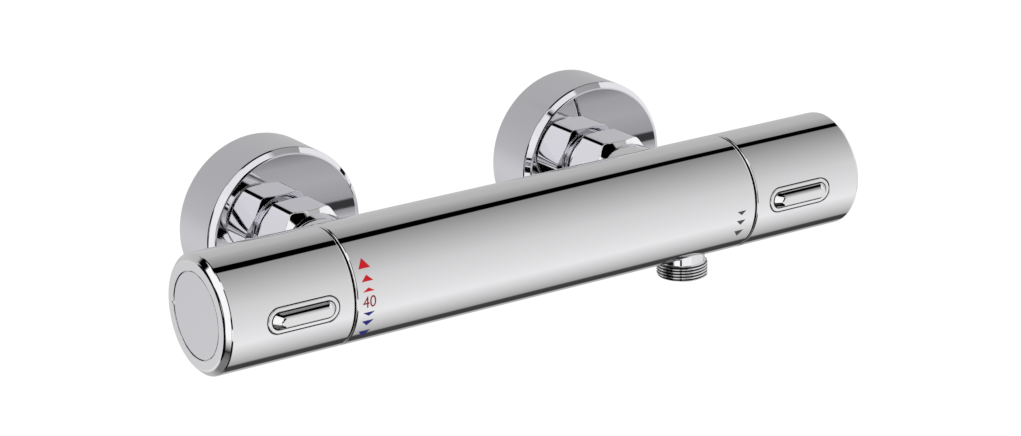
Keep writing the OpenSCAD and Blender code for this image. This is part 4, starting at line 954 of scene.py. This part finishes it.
# Springs
# Coiled steel wire: one under each button, one in each check valve, and the overload and return springs
# of the thermostatic cartridge. Each is a round wire led along a spiral, its ends closed.
def grained(name, colour, shades, cloud, grain, rough, relief, **more):
    """Clouds shift the colour between two shades, and a grain its gloss and relief. Clouds and grain are each given
    by scale and detail, relief by strength and depth in metres."""
    material, add = new_material(name)
    place = add("ShaderNodeTexCoord").outputs["Object"]
    clouds = add("ShaderNodeTexNoise", Vector=place, Scale=cloud[0], Detail=cloud[1])
    tint = add("ShaderNodeValToRGB", Fac=clouds.outputs["Fac"])
    for stop, level in zip(tint.color_ramp.elements, shades):
        stop.color = [min(c * level, 1) for c in colour] + [1]
    grit = add("ShaderNodeTexNoise", Vector=place, Scale=grain[0], Detail=grain[1])
    roughness = add("ShaderNodeMapRange", Value=grit.outputs["Fac"], To_Min=rough[0], To_Max=rough[1])
    bump = add("ShaderNodeBump", Strength=relief[0], Distance=relief[1], Height=grit.outputs["Fac"])
    shader = add("ShaderNodeBsdfPrincipled", Base_Color=tint.outputs["Color"], Roughness=roughness.outputs[0],
                 Normal=bump.outputs["Normal"], **more)
    add("ShaderNodeOutputMaterial", Surface=shader.outputs[0])
    return material


def coil_tree():
    """Geometry nodes that lead a round wire along a spiral rising on Z."""
    add, sums, made, finish = new_group("coil", {
        "Turns": 5.0, "Coil radius": 0.003, "Wire radius": 0.0003, "Start": 0.0, "Height": 0.01, "Steps": 40,
        "Metal": "Material"})
    spiral = add("GeometryNodeCurveSpiral", Resolution=made["Steps"], Rotations=made["Turns"],
                 Start_Radius=made["Coil radius"], End_Radius=made["Coil radius"], Height=made["Height"])
    lift = add("ShaderNodeCombineXYZ", Z=made["Start"])
    raised = add("GeometryNodeTransform", Geometry=spiral.outputs[0], Translation=lift.outputs[0])
    wire = add("GeometryNodeCurvePrimitiveCircle", Resolution=12, Radius=made["Wire radius"])
    tube = add("GeometryNodeCurveToMesh", Curve=raised.outputs[0], Profile_Curve=wire.outputs[0], Fill_Caps=True)
    return finish(tube.outputs[0], made["Metal"])


coils = coil_tree()
spring_steel = grained("spring_steel", (0.56, 0.56, 0.55), (0.9, 1.05), (250.0, 3.0), (1800.0, 2.0),
                       (0.224, 0.364), (0.15, 0.00002), Metallic=1.0)
left_frame = Matrix.Translation(Vector((0, BAR_Y, BAR_Z)) * MM) @ Matrix.Rotation(-math.pi / 2, 4, "Y")


def front_frame(side):
    return Matrix.Translation(Vector((side * BUTTON_AT, BAR_Y, BAR_Z)) * MM) @ Matrix.Rotation(math.pi / 2, 4, "X")


# Name, its node, its body, frame, coil radius, wire radius, where it starts and ends, turns, and the joint that
# presses it by how much
for name, node, body_name, frame_of, mid, wire, start, end, count, joint, press in (
        ("temperature_button_coil", "temperature_button_spring", "temperature_handle", front_frame(-1),
         3.0, 0.35, 10.56, 18.94, 4, "temperature_button_press", 2.0),
        ("flow_button_coil", "flow_button_spring", "flow_handle", front_frame(1),
         3.0, 0.35, 10.56, 18.94, 4, "flow_button_press", 2.0),
        ("hot_check_coil", "hot_check_spring", "valve", wall_frame(-1), 3.2, 0.3, 35.56, 44.84, 5,
         "hot_check_lift", 3.0),
        ("cold_check_coil", "cold_check_spring", "valve", wall_frame(1), 3.2, 0.3, 35.56, 44.84, 5,
         "cold_check_lift", 3.0),
        ("overload_coil", "overload_spring", "adjuster", left_frame, 6.45, 0.55, 92.61, 96.99, 2, None, 0),
        ("return_coil", "return_spring", "valve", left_frame, 6.4, 0.5, 65.56, 77.54, 5, "adjuster_travel", 0.75)):
    mesh = grown(coils, name, {"Turns": float(count), "Coil radius": mid * MM, "Wire radius": wire * MM,
                               "Start": (start + wire) * MM, "Height": (end - start - 2 * wire) * MM,
                               "Steps": 32, "Metal": spring_steel})
    coil = put(mesh, name, frame_of)
    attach(coil, body_name)
    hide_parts(node)
    if joint:
        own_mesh(coil)


# Printed marks
# Pad-printed on the body beside the seams: 40 between red and blue triangles for warmer and cooler water on
# the left, and three grey triangles toward full flow on the right. They lie on the chrome as a thin ink film.
def ink(name, colour):
    return grained(name, colour, (0.88, 1.08), (900.0, 3.0), (2500.0, 2.0), (0.32, 0.5), (0.1, 0.00001),
                   Specular_IOR_Level=0.15)


def wrap_tree():
    """Geometry nodes that wrap a flat drawing, X along the bar and Y round it from the front, on the bar."""
    add, sums, made, finish = new_group("wrap_on_bar", {
        "Drawing": "Geometry", "Bar radius": 0.0, "Film": 0.0, "Axis Y": 0.0, "Axis Z": 0.0, "Ink": "Material"})
    fine = add("GeometryNodeSubdivideMesh", Mesh=made["Drawing"], Level=3)
    place = add("ShaderNodeSeparateXYZ", i0=add("GeometryNodeInputPosition").outputs[0])
    angle = sums("DIVIDE", place.outputs["Y"], made["Bar radius"])
    radius = sums("ADD", made["Bar radius"], made["Film"])
    front = sums("MULTIPLY", radius, sums("COSINE", angle))
    up = sums("MULTIPLY", radius, sums("SINE", angle))
    spot = add("ShaderNodeCombineXYZ", X=place.outputs["X"], Y=sums("SUBTRACT", made["Axis Y"], front),
               Z=sums("ADD", made["Axis Z"], up))
    moved = add("GeometryNodeSetPosition", Geometry=fine.outputs[0], Position=spot.outputs[0])
    return finish(moved.outputs[0], made["Ink"])


def number_drawing(text, left, right, low, high):
    """A plain number as a flat mesh that fills the given room, in millimetres."""
    font = bpy.data.curves.new("number", "FONT")
    font.body = text
    holder = bpy.data.objects.new("number", font)
    bpy.context.scene.collection.objects.link(holder)
    mesh = bpy.data.meshes.new_from_object(holder.evaluated_get(bpy.context.evaluated_depsgraph_get()))
    bpy.data.objects.remove(holder)
    xs, ys = [v.co.x for v in mesh.vertices], [v.co.y for v in mesh.vertices]
    for v in mesh.vertices:
        v.co.x = (left + (right - left) * (v.co.x - min(xs)) / (max(xs) - min(xs))) * MM
        v.co.y = (low + (high - low) * (v.co.y - min(ys)) / (max(ys) - min(ys))) * MM
        v.co.z = 0
    return mesh


def triangle_drawing(middle, half, marks):
    """Triangles from base to tip, heights in millimetres round the bar."""
    points, faces = [], []
    for base, tip in marks:
        n = len(points)
        points += [(x * MM, y * MM, 0) for x, y in ((middle - half, base), (middle + half, base), (middle, tip))]
        faces.append((n, n + 1, n + 2) if tip > base else (n, n + 2, n + 1))
    mesh = bpy.data.meshes.new("triangles")
    mesh.from_pydata(points, [], faces)
    return mesh


wraps = wrap_tree()
red, dark_red, blue, grey = (ink("red_ink", (0.56, 0.006, 0.012)), ink("dark_red_ink", (0.24, 0.005, 0.006)),
                             ink("blue_ink", (0.014, 0.014, 0.19)), ink("grey_ink", (0.06, 0.06, 0.065)))
for name, drawing, colour in (
        ("warmer_marks", triangle_drawing(-89.1, 2.6, [(12.2, 16.3), (7.2, 9.7), (3.3, 4.8)]), red),
        ("forty_mark", number_drawing("40", -91.9, -86.2, -3.1, 1.5), dark_red),
        ("cooler_marks", triangle_drawing(-89.1, 2.6, [(-5.07, -6.75), (-8.9, -11.5), (-14.5, -18.2)]), blue),
        ("flow_marks", triangle_drawing(87.37, 2.2, [(-0.75, -2.45), (-4.8, -6.9), (-9.8, -12.8)]), grey)):
    mesh = grown(wraps, name, {"Bar radius": BAR_R * MM, "Film": 0.03 * MM, "Axis Y": BAR_Y * MM,
                               "Axis Z": BAR_Z * MM, "Ink": colour}, drawing)
    marks = put(mesh, name, Matrix())
    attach(marks, "valve")


# Inner pieces
# What the chrome hides keeps its own shape and gets the finish of its stuff: turned brass, steel, black rubber,
# white and dark moulded plastic, red fibre, a copper wax element and lapped ceramic discs.
def turned_metal(name, colour, rough):
    """Bare machined metal: fine tool rings, slight tarnish in patches."""
    material, add = new_material(name)
    place = add("ShaderNodeTexCoord").outputs["Object"]
    tarnish = add("ShaderNodeTexNoise", Vector=place, Scale=120.0, Detail=5.0, Roughness=0.6)
    tint = add("ShaderNodeValToRGB", Fac=tarnish.outputs["Fac"])
    for stop, level in zip(tint.color_ramp.elements, (0.82, 1.06)):
        stop.color = [min(c * level, 1) for c in colour] + [1]
    rings = add("ShaderNodeTexWave", {"wave_type": "BANDS", "bands_direction": "X"}, Vector=place, Scale=900.0,
                Distortion=1.5, Detail=2.0)
    roughness = add("ShaderNodeMapRange", Value=tarnish.outputs["Fac"], To_Min=rough * 0.8, To_Max=rough * 1.35)
    relief = add("ShaderNodeBump", Strength=0.15, Distance=0.00002, Height=rings.outputs["Fac"])
    shader = add("ShaderNodeBsdfPrincipled", Base_Color=tint.outputs["Color"], Metallic=1.0,
                 Roughness=roughness.outputs[0], Normal=relief.outputs["Normal"])
    add("ShaderNodeOutputMaterial", Surface=shader.outputs[0])
    return material


def dull(name, colour, rough, grain_scale, grain=0.2, shades=(0.88, 1.08)):
    """Rubber, plastic, fibre or ceramic."""
    return grained(name, colour, shades, (90.0, 4.0), (grain_scale, 3.0), (rough * 0.85, min(rough * 1.2, 1.0)),
                   (grain, 0.00005))


finishes = {
    "chrome": chrome,
    "brass": turned_metal("turned_brass", (0.60, 0.42, 0.16), 0.3),
    "steel": turned_metal("turned_steel", (0.50, 0.50, 0.49), 0.3),
    "copper": turned_metal("drawn_copper", (0.60, 0.26, 0.13), 0.3),
    "rubber": dull("black_rubber", (0.012, 0.012, 0.013), 0.6, 1500.0),
    "white_plastic": dull("white_plastic", (0.80, 0.80, 0.76), 0.4, 1200.0, shades=(0.96, 1.02)),
    "dark_plastic": dull("dark_plastic", (0.035, 0.038, 0.045), 0.45, 1200.0),
    "red_fibre": dull("red_fibre", (0.26, 0.03, 0.02), 0.75, 2200.0, grain=0.5),
    "ceramic": dull("lapped_ceramic", (0.86, 0.84, 0.78), 0.18, 3000.0, grain=0.08, shades=(0.97, 1.02)),
}
for piece in frame["record"]["subparts"]:
    node = frame["nodes"][piece["node"]]
    if not node.material_slots:
        node.data.materials.append(None)
    for hold in node.material_slots:
        hold.material = finishes[piece["material_slot"]]
